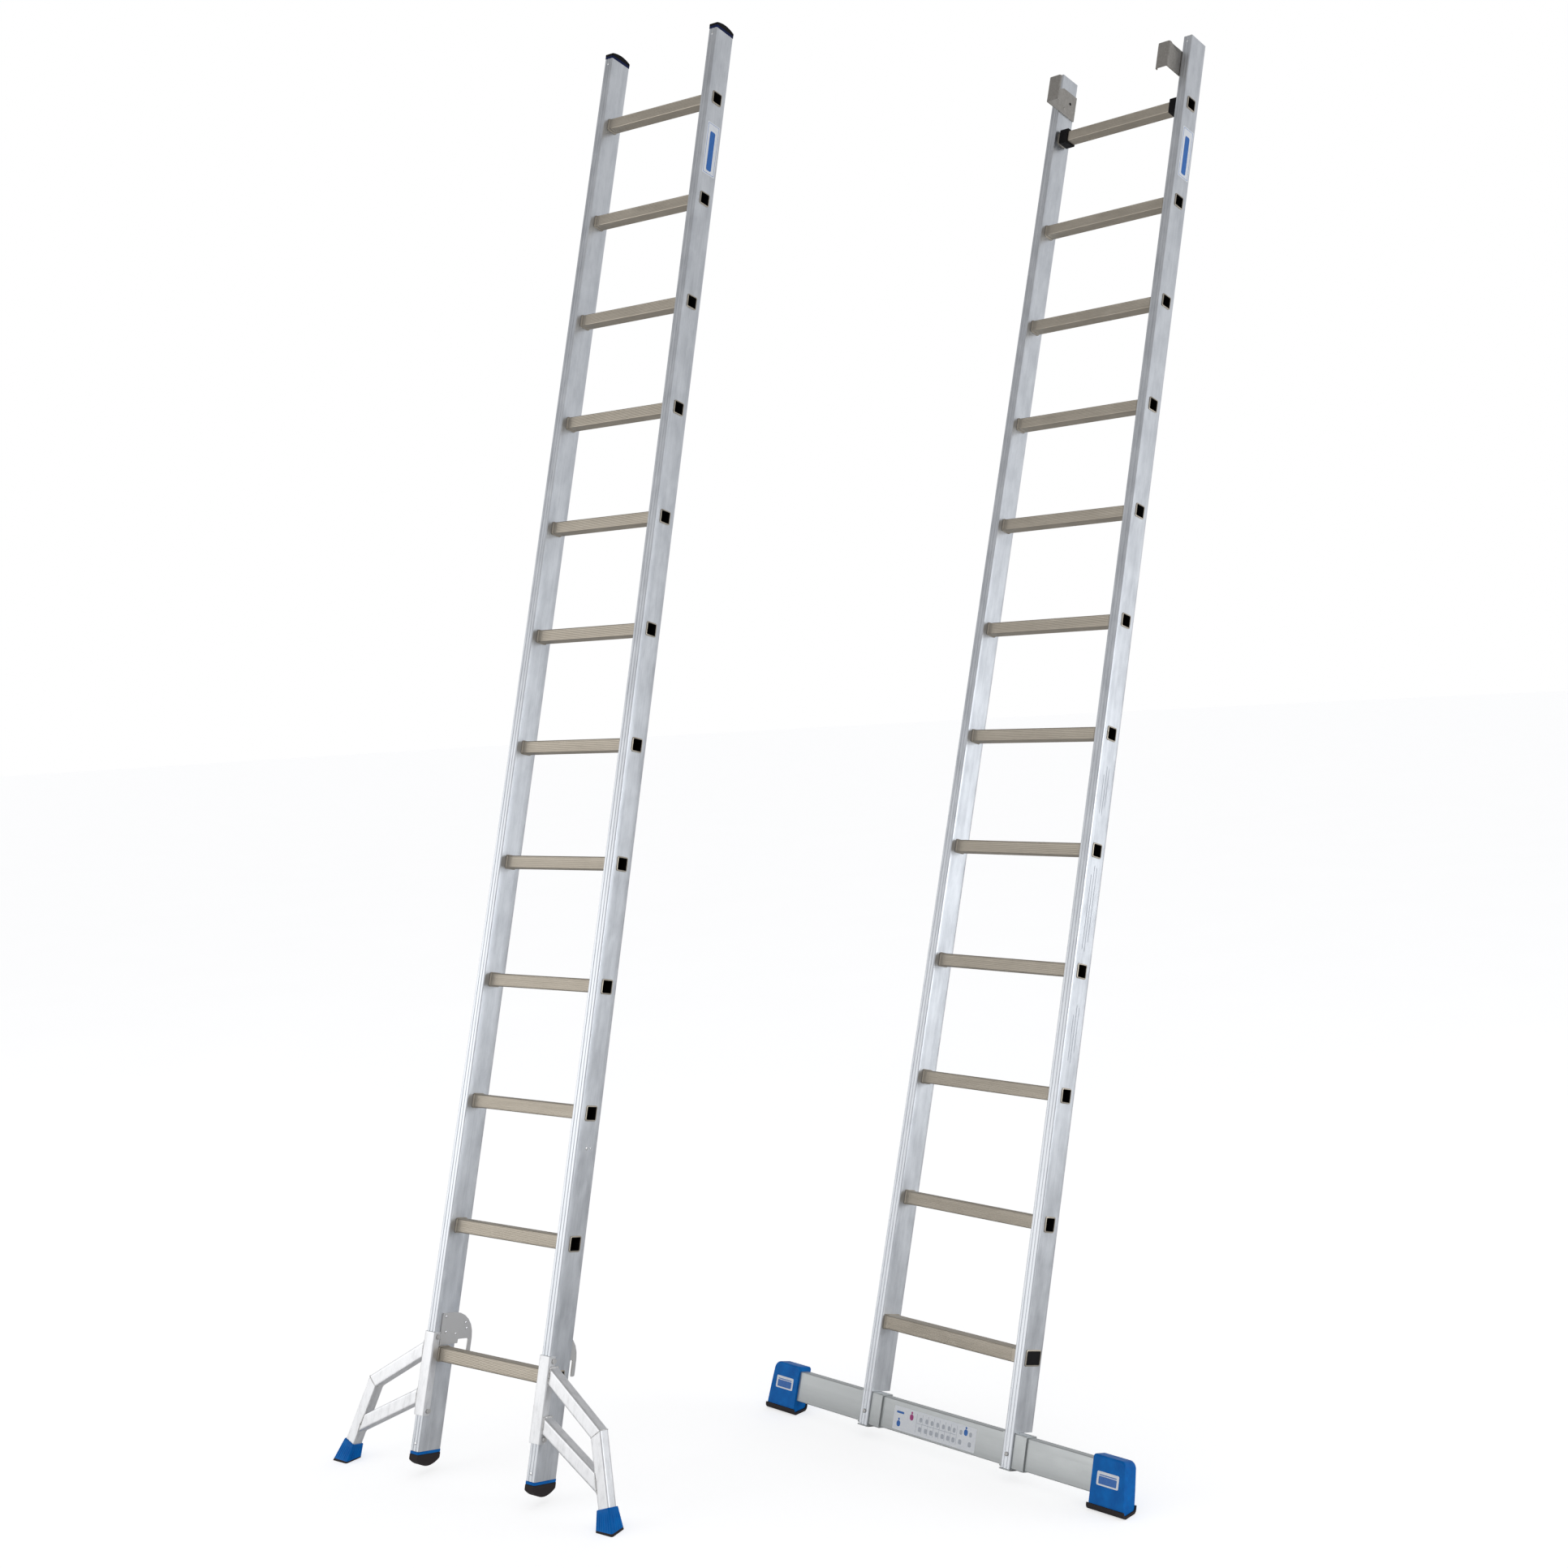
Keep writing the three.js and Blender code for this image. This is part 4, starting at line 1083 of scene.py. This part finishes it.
    def build(self) -> None:
        """Every piece of the base section."""
        self.stiles()
        add_rungs(self.section, "base", self.width / 2, [self.tread] + [30.0] * (RUNG_COUNT - 1))
        self.guide_hooks()
        self.glide_blocks()
        self.crossbar()
        self.saddles()
        self.caps()


def hollow_bar(surface: Surface, axis: Axis, outer: Sequence[Corner], inner: Sequence[Corner],
               low: float, high: float, finish: int = 0) -> None:
    """Straight tube between two outlines that have the same number of corners.

    Args:
        surface: where it is added.
        axis: the tube's direction, across or along.
        outer: corners of the outside.
        inner: corners of the bore.
        low: lower end.
        high: upper end.
        finish: which finish the faces take.
    """
    skins = []
    for corners in (outer, inner):
        outline = filleted(corners, 4)
        rings = np.empty((2, len(outline), 3))
        first, second, third = {Axis.ACROSS: (1, 2, 0), Axis.ALONG: (0, 1, 2)}[axis]
        rings[..., first], rings[..., second] = outline[:, 0], outline[:, 1]
        rings[0, :, third], rings[1, :, third] = low, high
        skins.append(rings)
    surface.shell(*skins, np.zeros((1, skins[0].shape[1]), bool), finish, finish)


# ---- fly section ----------------------------------------------------------------------------


@dataclass
class Outrigger:
    """Welded frame of rectangular tube at the side of the fly section, with its bracket and foot."""

    outside: float = 195.0
    stile_width: float = 26.0
    stile_face: float = -32.5
    sheet: float = 3.0
    bracket_top: float = 48.0
    bracket_bottom: float = -130.0
    bracket_back: float = -18.2
    tube_width: float = 30.0
    tube_depth: float = 25.0
    arm_root: float = 8.0
    brace_root: float = -92.0
    knee: tuple[float, float] = (351.0, -84.0)
    leg_end: tuple[float, float] = (403.0, -238.0)
    brace_join: float = 0.66
    lean: float = 14.0
    rung_height: float = 249.3
    foot_socket: float = 18.0
    foot_top: tuple[float, float] = (35.0, 30.0)
    foot_depth_low: float = 40.0
    foot_growth: float = 10.0 / 86.0

    @property
    def root(self) -> float:
        """Where the tubes start, across the ladder."""
        return self.outside + 2 * GAP + self.sheet

    @property
    def tube_middle(self) -> float:
        """Middle of the tubes from front to back."""
        return self.stile_face + self.tube_depth / 2

    def floor(self, depth: Any) -> Any:
        """Height of the floor under a depth: (y sin lean - rung height) / cos lean."""
        lean = math.radians(self.lean)
        return (depth * math.sin(lean) - self.rung_height) / math.cos(lean)

    def bracket(self, surface: Surface, sign: float) -> None:
        """Channel round the stile's front edge."""
        out = sign * (self.outside + GAP + self.sheet)
        inner = sign * (self.outside - self.stile_width - GAP - self.sheet)
        thick, front = sign * self.sheet, self.stile_face - GAP - self.sheet
        corners = [(out, self.bracket_back, 0.5), (out, front, 3.4), (inner, front, 3.4),
                   (inner, self.bracket_back, 0.5), (inner + thick, self.bracket_back, 0.5),
                   (inner + thick, front + self.sheet, 0.8), (out - thick, front + self.sheet, 0.8),
                   (out - thick, self.bracket_back, 0.5)]
        surface.prism(Axis.ALONG, filleted(corners, 5), self.bracket_bottom, self.bracket_top)

    def section_points(self, grow: float = 0.0) -> Array:
        """Outline across a tube: (offset in the frame's plane, y)."""
        half_w, half_d = self.tube_width / 2 + grow, self.tube_depth / 2 + grow
        return divided(filleted(rectangle(-half_w, half_w, self.tube_middle - half_d, self.tube_middle + half_d,
                                          3.2 + grow), 5), 3.0)

    @staticmethod
    def ring(points: Array, place: Array, run: Array, cut: Array) -> Array:
        """Ring where a tube is cut along a line in the frame's plane.

        With n square to the tube's run, a point w off the middle lies at place + cut * w / (cut . n).

        Args:
            points: outline across the tube.
            place: where the tube's middle line meets the cut.
            run: the tube's direction.
            cut: direction of the cut.

        Returns:
            (n, 3) places on the right-hand side of the ladder.
        """
        square = np.array([-run[1], run[0]])
        offset = points[:, :1] / float(cut @ square) * cut
        flat = place + offset
        return np.stack([flat[:, 0], points[:, 1], flat[:, 1]], axis=1)

    def rings(self, grow: float = 0.0) -> tuple[Array, Array]:
        """Rings of the arm and leg (root, knee, end) and of the brace (root, leg)."""
        points = self.section_points(grow)
        knee, end = np.array(self.knee), np.array(self.leg_end)
        arm_root, brace_root = np.array([self.root, self.arm_root]), np.array([self.root, self.brace_root])
        leg = (end - knee) / np.linalg.norm(end - knee)
        arm = (knee - arm_root) / np.linalg.norm(knee - arm_root)
        meet = knee + self.brace_join * (end - knee)
        brace = (meet - brace_root) / np.linalg.norm(meet - brace_root)
        upright = np.array([0.0, 1.0])
        mitre = np.array([-(arm + leg)[1], (arm + leg)[0]])
        mitre /= np.linalg.norm(mitre)
        inner_side = np.array([-leg[1], leg[0]]) * (self.tube_width / 2)
        if inner_side[0] > 0:
            inner_side = -inner_side
        face = meet + inner_side
        share = np.linalg.solve(np.stack([brace, -leg], axis=1), face - brace_root)[0]
        touch = brace_root + brace * share
        elbow = np.stack([self.ring(points, arm_root, arm, upright), self.ring(points, knee, arm, mitre),
                          self.ring(points, end, leg, np.array([-leg[1], leg[0]]))])
        strut = np.stack([self.ring(points, brace_root, brace, upright),
                          self.ring(points, touch + brace * 3, brace, leg)])
        return elbow, strut

    def tubes(self, surface: Surface, sign: float) -> None:
        """Arm, leg and brace, with weld beads at every joint."""
        def mirrored(rings: Array) -> Array:
            """Rings of the side asked for, kept facing outwards."""
            return rings * (sign, 1, 1) if sign > 0 else (rings * (sign, 1, 1))[:, ::-1]

        elbow, strut = self.rings()
        self.skin(surface, mirrored(elbow[:2]))
        self.skin(surface, mirrored(elbow[1:]))
        self.skin(surface, mirrored(strut))
        for ring, radius in ((elbow[0], 2.3), (elbow[1], 1.1), (strut[0], 2.3), (strut[1], 2.0)):
            middle = ring.mean(axis=0)
            normal = ring - middle
            normal /= np.linalg.norm(normal, axis=1, keepdims=True)
            path = divided_path(ring, 1.2)
            away = path - middle
            away /= np.linalg.norm(away, axis=1, keepdims=True)
            shift = (0.6 if radius > 2.2 else 0.0, 0, 0)
            surface.bead(((path + shift) * (sign, 1, 1))[::int(sign)], (away * (sign, 1, 1))[::int(sign)],
                         radius, 1, 30)

    @staticmethod
    def skin(surface: Surface, rings: Array) -> None:
        """Skin over two rings, facing outwards whichever way the rings turn."""
        low, high = rings
        area = np.cross(low - low.mean(axis=0), np.roll(low, -1, axis=0) - low.mean(axis=0)).sum(axis=0)
        facing = area @ (high.mean(axis=0) - low.mean(axis=0))
        surface.loft(rings if facing > 0 else rings[:, ::-1])

    def foot(self, surface: Surface, sign: float) -> None:
        """Flared foot with ribs down its sides and a dark edge on the floor.

        A point (u, v) of the top outline, each from -1 to 1, goes down the leg and outwards in
        proportion to u until it meets the floor; rings lie at shares of that way. The ribs sink
        the skin by a rounded square wave of u, most in the middle of the foot's height.
        """
        knee, end = np.array(self.knee), np.array(self.leg_end)
        leg = (end - knee) / np.linalg.norm(end - knee)
        square = np.array([-leg[1], leg[0]])
        if square[0] < 0:
            square = -square
        half_u, half_v = self.foot_top[0] / 2, self.foot_top[1] / 2
        plan = divided(filleted(rectangle(-half_u, half_u, -half_v, half_v, 3.0), 4), 0.9)
        u, v = plan[:, 0] / half_u, plan[:, 1] / half_v
        top = end - leg * self.foot_socket + square * plan[:, :1]
        course = leg + square * (u * self.foot_growth)[:, None]
        depth_low = self.tube_middle + v * self.foot_depth_low / 2
        way = (self.floor(depth_low) - top[:, 1]) / course[:, 1]
        low = top + course * way[:, None]
        start = np.stack([top[:, 0], self.tube_middle + plan[:, 1], top[:, 1]], axis=1)
        finish = np.stack([low[:, 0], depth_low, low[:, 1]], axis=1)
        normal = outward(plan)
        sink = np.stack([square[0] * normal[:, 0], normal[:, 1], square[1] * normal[:, 0]], axis=1)
        run = np.where(np.abs(normal[:, 1]) > 0.7, plan[:, 0], plan[:, 1])
        wave = (1 - np.clip(2.0 * np.cos(2 * np.pi * run / 5.0), -1, 1)) / 2
        wave = np.where(np.maximum(np.abs(u) * (np.abs(normal[:, 1]) > 0.7),
                                   np.abs(v) * (np.abs(normal[:, 1]) <= 0.7)) < 0.8, wave, 0)

        def rings(shares: Array, depth: Array, grow: float = 0.0) -> Array:
            """Rings at the given shares of the way down, sunk by the ribs' depth."""
            places = start + (finish - start) * shares[:, None, None]
            places = places - sink * (wave[None, :] * depth[:, None] - grow)[..., None]
            return places * (sign, 1, 1) if sign > 0 else (places * (sign, 1, 1))[:, ::-1]

        shares = np.array([0.0, 0.03, 0.16, 0.22, 0.5, 0.8, 0.87, 0.9])
        depth = np.array([0.0, 0.0, 0.0, 0.9, 1.2, 1.2, 0.2, 0.0])
        body, edge = rings(shares, depth), rings(np.array([0.9, 1.0]), np.zeros(2))
        body[0] = body[0] + (body[0].mean(axis=0) - body[0]) * 0.05
        for part, number in ((body, 0), (edge, 1)):
            down = part[-1].mean(axis=0) - part[0].mean(axis=0)
            area = np.cross(part[0] - part[0].mean(axis=0),
                            np.roll(part[0], -1, axis=0) - part[0].mean(axis=0)).sum(axis=0)
            surface.loft(part if area @ down > 0 else part[:, ::-1], number)

    def bolt(self, surface: Surface, sign: float, level: float) -> None:
        """Hexagon head outside, nut and bolt end inside."""
        depth = self.stile_face + 8.5
        head = [(5.8, 0.0), (6.0, 0.4), (6.0, 3.7), (5.2, 4.5), (0.5, 4.5)]
        nut = [(5.8, 0.0), (6.0, 0.4), (6.0, 3.7), (5.2, 4.5), (3.3, 4.5), (3.1, 3.6), (2.9, 4.4), (0.5, 4.45)]
        outer = sign * self.root
        inner = sign * (self.outside - self.stile_width - self.sheet - 2 * GAP)
        surface.turned(head, (outer, depth, level), Axis.ACROSS, sign, 6, 0, 0.3)
        surface.turned(nut, (inner, depth, level), Axis.ACROSS, -sign, 6, 0, 0.1)
        surface.turned([(3.0, -1.0), (3.0, 33.4)], (outer, depth, level), Axis.ACROSS, -sign, 12, 0)


def divided_path(path: Array, step: float) -> Array:
    """A closed 3-D path with its long pieces cut up, none longer than `step`."""
    ahead = np.roll(path, -1, axis=0) - path
    parts = np.maximum(1, np.ceil(np.linalg.norm(ahead, axis=1) / step).astype(int))
    index = np.arange(parts.sum()) - np.repeat(np.cumsum(parts) - parts, parts)
    share = index / np.repeat(parts, parts)
    return np.repeat(path, parts, axis=0) + np.repeat(ahead, parts, axis=0) * share[:, None]


@dataclass
class FlySection:
    """The narrow section with rung hooks and outriggers at its foot."""

    section: SectionFrame
    stile: Stile = field(default_factory=Stile)
    outrigger: Outrigger = field(default_factory=Outrigger)
    outside: float = 195.0
    below: float = -206.0
    end_spread: float = 0.8
    cap_rim: float = 6.0
    cap_edge: float = 14.0
    cap_dome: float = 7.0
    shoe: float = 6.0
    sole_edge: float = 12.0
    sole_dome: float = 14.0
    hook_sheet: float = 4.0
    nest: float = 52.0

    @property
    def middle(self) -> float:
        """Middle of a stile across the ladder."""
        return self.outside - self.stile.width / 2

    def publish(self, surface: Surface, node: str, stocks: Sequence[Stock], slot: str, bevel: float = 0.0) -> None:
        """Publishes a piece of this section."""
        publish(surface, node, self.section, stocks, bevel)

    def stiles(self) -> None:
        """Both uprights with their small rivets and the lock stud."""
        for side in Side:
            middle = side.value * self.middle
            surface = Surface()
            self.stile.build(surface, middle, self.below, [self.stile.hole] * RUNG_COUNT)
            face = -self.stile.depth / 2
            for level in (self.stile.top - 15, self.below + 16):
                rivet(surface, (middle, face - 0.02, level), Axis.DEPTH, -1, 3.3, 0.9, 1)
            if side is Side.RIGHT:
                film(surface, 1, self.outside, (2, 2938), (46, 142), 2)
                film(surface, 1, self.outside + 0.12, (2, 2938), (40, 136), 3, 0.04)
                film(surface, 1, self.outside + 0.16, (2, 2938), (38, 134), 2, 0.04)
                film(surface, 1, self.outside + 0.20, (1, 2932), (19, 108), 3, 0.05, 5)
                rivet(surface, (self.outside, 0, 484), Axis.ACROSS, 1, 4.2, 1.5, 1)
                rivet(surface, (self.outside, 12, 484), Axis.ACROSS, 1, 2.6, 0.8, 1)
            self.publish(surface, f"fly_stile_{side.label}",
                         (Stock.STILE, Stock.BRIGHT_RIVET, Stock.PALE_FILM, Stock.BLUE_FILM), "stile_aluminium")

    def dome(self, base: float, edge: float, rise: float) -> Array:
        """Outline in (y, z) that bulges from a flat base: edge + rise (1 - s^2) over its width."""
        share = np.linspace(1, -1, 17)
        reach = self.stile.depth / 2 + self.end_spread
        arc = np.stack([reach * share, base + edge + rise * (1 - share ** 2)], axis=1)
        outline = np.vstack([[[-reach, base], [reach, base]], arc])
        area = np.sum(outline[:, 0] * np.roll(outline[:, 1], -1) - np.roll(outline[:, 0], -1) * outline[:, 1])
        return outline if area > 0 else outline[::-1]

    def end_pieces(self) -> None:
        """Top caps, shoes and soles."""
        half = self.stile.width / 2 + self.end_spread
        reach = self.stile.depth / 2 + self.end_spread
        for side in Side:
            middle = side.value * self.middle
            band = filleted(rectangle(middle - half, middle + half, -reach, reach, 3.0), 5)
            base = self.stile.top + GAP
            cap = Surface()
            cap.prism(Axis.ALONG, band, base, base + self.cap_rim + 1.5)
            cap.prism(Axis.ACROSS, self.dome(base + self.cap_rim, self.cap_edge - self.cap_rim, self.cap_dome),
                      middle - half + 0.2, middle + half - 0.2, 1)
            self.publish(cap, f"top_cap_{side.label}", (Stock.NAVY, Stock.BLACK), "blue_plastic", 2.0)
            high = self.below - GAP
            shoe = Surface()
            shoe.prism(Axis.ALONG, band, high - self.shoe, high)
            self.publish(shoe, f"fly_shoe_{side.label}", (Stock.BLUE,), "blue_plastic", 0.6)
            sole = Surface()
            sole.prism(Axis.ACROSS, self.dome(high - self.shoe - GAP, -self.sole_edge, -self.sole_dome),
                       middle - half, middle + half)
            self.publish(sole, f"fly_sole_{side.label}", (Stock.RUBBER,), "black_rubber", 1.6)

    def rung_hooks(self) -> None:
        """Riveted plates whose notch drops over a rung of the other section."""
        near, far = self.nest - 16, self.nest + 16
        back = far + 10
        corners = [(-17.7, 20, 2), (near, 20, 2), (near, 29, 2), (far, 29, 3), (far, -6, 2), (back, -6, 4),
                   (back, 88, 58), (-17.7, 88, 4)]
        for side in Side:
            face = side.value * (self.outside - self.stile.width - GAP)
            inner = face - side.value * self.hook_sheet
            surface = Surface()
            surface.prism(Axis.ACROSS, filleted(corners, 6), min(face, inner), max(face, inner))
            for y, z in ((-9, 81), (-4, 47), (26, 41), (53, 64), (58, 51)):
                rivet(surface, (inner, y, z), Axis.ACROSS, -side.value, 3.4, 1.5, 1)
            self.publish(surface, f"rung_hook_{side.label}", (Stock.ZINC, Stock.BRIGHT_RIVET), "zinc_steel", 0.7)

    def outriggers(self) -> None:
        """Brackets, welded frames, feet and bolts on both sides."""
        for side in Side:
            sign = float(side.value)
            pieces: dict[str, tuple[Callable[[Surface], None], tuple[Stock, ...], str, float]] = {
                "bracket": (lambda s: self.outrigger.bracket(s, sign), (Stock.STRUT,), "outrigger_aluminium", 0.5),
                "frame": (lambda s: self.outrigger.tubes(s, sign), (Stock.STRUT, Stock.WELD),
                          "outrigger_aluminium", 0.0),
                "foot": (lambda s: self.outrigger.foot(s, sign), (Stock.BLUE, Stock.RUBBER), "blue_plastic", 0.0),
                "bolt_upper": (lambda s: self.outrigger.bolt(s, sign, 38.0), (Stock.ZINC,), "zinc_steel", 0.0),
                "bolt_lower": (lambda s: self.outrigger.bolt(s, sign, -120.0), (Stock.ZINC,), "zinc_steel", 0.0),
            }
            for name, (make, stocks, slot, bevel) in pieces.items():
                surface = Surface()
                make(surface)
                self.publish(surface, f"outrigger_{name}_{side.label}", stocks, slot, bevel)

    def build(self) -> None:
        """Every piece of the fly section."""
        self.stiles()
        add_rungs(self.section, "fly", self.outside, [30.0] * RUNG_COUNT)
        self.end_pieces()
        self.rung_hooks()
        self.outriggers()


# ---- room -----------------------------------------------------------------------------------


@dataclass
class Room:
    """Plain pale floor, soft light and the camera."""

    eye: tuple[float, float, float] = (3.2059, -3.2098, 1.7461)
    yaw: float = 40.446
    pitch: float = -1.719
    roll: float = 2.981
    lens: float = 42.868
    shift: tuple[float, float] = (-0.1277, -0.1098)
    backdrop: float = 1.0
    floor_glow: float = 0.6

    def camera(self) -> None:
        """Camera whose right, up and back directions come from yaw, pitch and roll.

        Forward is (-sin yaw cos pitch, cos yaw cos pitch, -sin pitch). Right starts level and
        both it and down are then turned about forward by the roll.
        """
        yaw, pitch, roll = (math.radians(angle) for angle in (self.yaw, self.pitch, self.roll))
        ahead = np.array([-math.sin(yaw) * math.cos(pitch), math.cos(yaw) * math.cos(pitch), -math.sin(pitch)])
        level = np.array([math.cos(yaw), math.sin(yaw), 0.0])
        below = np.cross(ahead, level)
        right = math.cos(roll) * level + math.sin(roll) * below
        down = -math.sin(roll) * level + math.cos(roll) * below
        data = bpy.data.cameras.new("camera")
        data.lens, data.sensor_width = self.lens, 36.0
        data.shift_x, data.shift_y = self.shift
        data.clip_start, data.clip_end = 0.05, 200.0
        eye = bpy.data.objects.new("camera", data)
        place = Matrix.Identity(4)
        for column, vector in enumerate((right, -down, -ahead, np.array(self.eye))):
            for row in range(3):
                place[row][column] = vector[row]
        eye.matrix_world = place
        bpy.context.scene.collection.objects.link(eye)
        bpy.context.scene.camera = eye

    def floor(self) -> None:
        """Large pale disc, brighter to the camera than to the ladder so that it stays light."""
        angle = np.linspace(0, 2 * np.pi, 96, endpoint=False)
        rim = np.stack([np.cos(angle), np.sin(angle), np.zeros(96)], axis=1)
        mesh = bpy.data.meshes.new("floor")
        mesh.from_pydata((rim * 60).tolist(), [], [list(range(96))])
        material, graph = new_graph("floor_paint")
        place = graph.add("ShaderNodeTexCoord", {}, {}, "Object")
        mottle = graph.noise(graph.scaled(place, (1.5,) * 3), 4.0)
        paint = graph.blend(mottle, solid_colour(0.86, 0.86, 0.86), solid_colour(0.9, 0.9, 0.9))
        diffuse = graph.add("ShaderNodeBsdfPrincipled", {}, {"Base Color": paint, "Roughness": 0.9 + mottle * 0.05,
                                                             "Specular IOR Level": 0.1})
        glow = graph.add("ShaderNodeEmission", {}, {"Color": solid_colour(1, 1, 1), "Strength": self.floor_glow})
        seen = graph.add("ShaderNodeLightPath", {}, {}, "Is Camera Ray")
        lit = graph.add("ShaderNodeAddShader", {}, {0: diffuse, 1: glow})
        both = graph.add("ShaderNodeMixShader", {}, {0: seen, 1: diffuse, 2: lit})
        graph.add("ShaderNodeOutputMaterial", {}, {"Surface": both})
        mesh.materials.append(material)
        disc = bpy.data.objects.new("floor", mesh)
        bpy.context.scene.collection.objects.link(disc)

    def sky(self) -> None:
        """Soft light, strongest round the horizon and weaker overhead, before a white backdrop."""
        world = bpy.data.worlds.new("studio")
        world.use_nodes = True
        bpy.context.scene.world = world
        graph = Graph(world.node_tree)
        way = graph.add("ShaderNodeTexCoord", {}, {}, "Generated")
        up = graph.add("ShaderNodeSeparateXYZ", {}, {0: way}, "Z")
        tone = graph.blend(up.window(0.05, 0.75), solid_colour(0.70, 0.715, 0.74), solid_colour(0.36, 0.36, 0.365))
        soft = graph.add("ShaderNodeBackground", {}, {"Color": tone, "Strength": 1.0})
        plain = graph.add("ShaderNodeBackground", {}, {"Color": solid_colour(1, 1, 1), "Strength": self.backdrop})
        seen = graph.add("ShaderNodeLightPath", {}, {}, "Is Camera Ray")
        mixed = graph.add("ShaderNodeMixShader", {}, {0: seen, 1: soft, 2: plain})
        graph.add("ShaderNodeOutputWorld", {}, {"Surface": mixed})

    def lamp(self, name: str, place: Sequence[float], aim: Sequence[float], size: tuple[float, float],
             power: float, colour: tuple[float, float, float] = (1.0, 1.0, 1.0)) -> None:
        """Rectangular soft light at a place, facing a point."""
        data = bpy.data.lights.new(name, "AREA")
        data.shape, data.size, data.size_y = "RECTANGLE", size[0], size[1]
        data.energy, data.color = power, colour
        lamp = bpy.data.objects.new(name, data)
        away = Matrix.Translation(place).to_translation() - Matrix.Translation(aim).to_translation()
        lamp.matrix_world = Matrix.Translation(place) @ away.to_track_quat("Z", "Y").to_matrix().to_4x4()
        bpy.context.scene.collection.objects.link(lamp)

    def build(self) -> None:
        """Camera, floor, sky and lamps."""
        bpy.context.scene.view_settings.view_transform = "Standard"
        self.camera()
        self.floor()
        self.sky()
        self.lamp("front_soft", (-4.2, -5.6, 1.8), (0.0, 0.0, 1.3), (6.0, 3.6), 70.0)
        self.lamp("right_soft", (5.5, 3.0, 0.9), (0.0, 0.0, 0.9), (3.0, 2.2), 80.0, (0.93, 0.96, 1.0))


def main() -> None:
    """Builds both sections and the room."""
    logging.basicConfig(level=logging.INFO, format="%(name)s: %(message)s")
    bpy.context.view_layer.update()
    base = SectionFrame.from_rungs("base_section", "base")
    fly = SectionFrame.from_rungs("fly_section", "fly")
    Room().build()
    BaseSection(base).build()
    FlySection(fly).build()


if __name__ == "__main__":
    main()
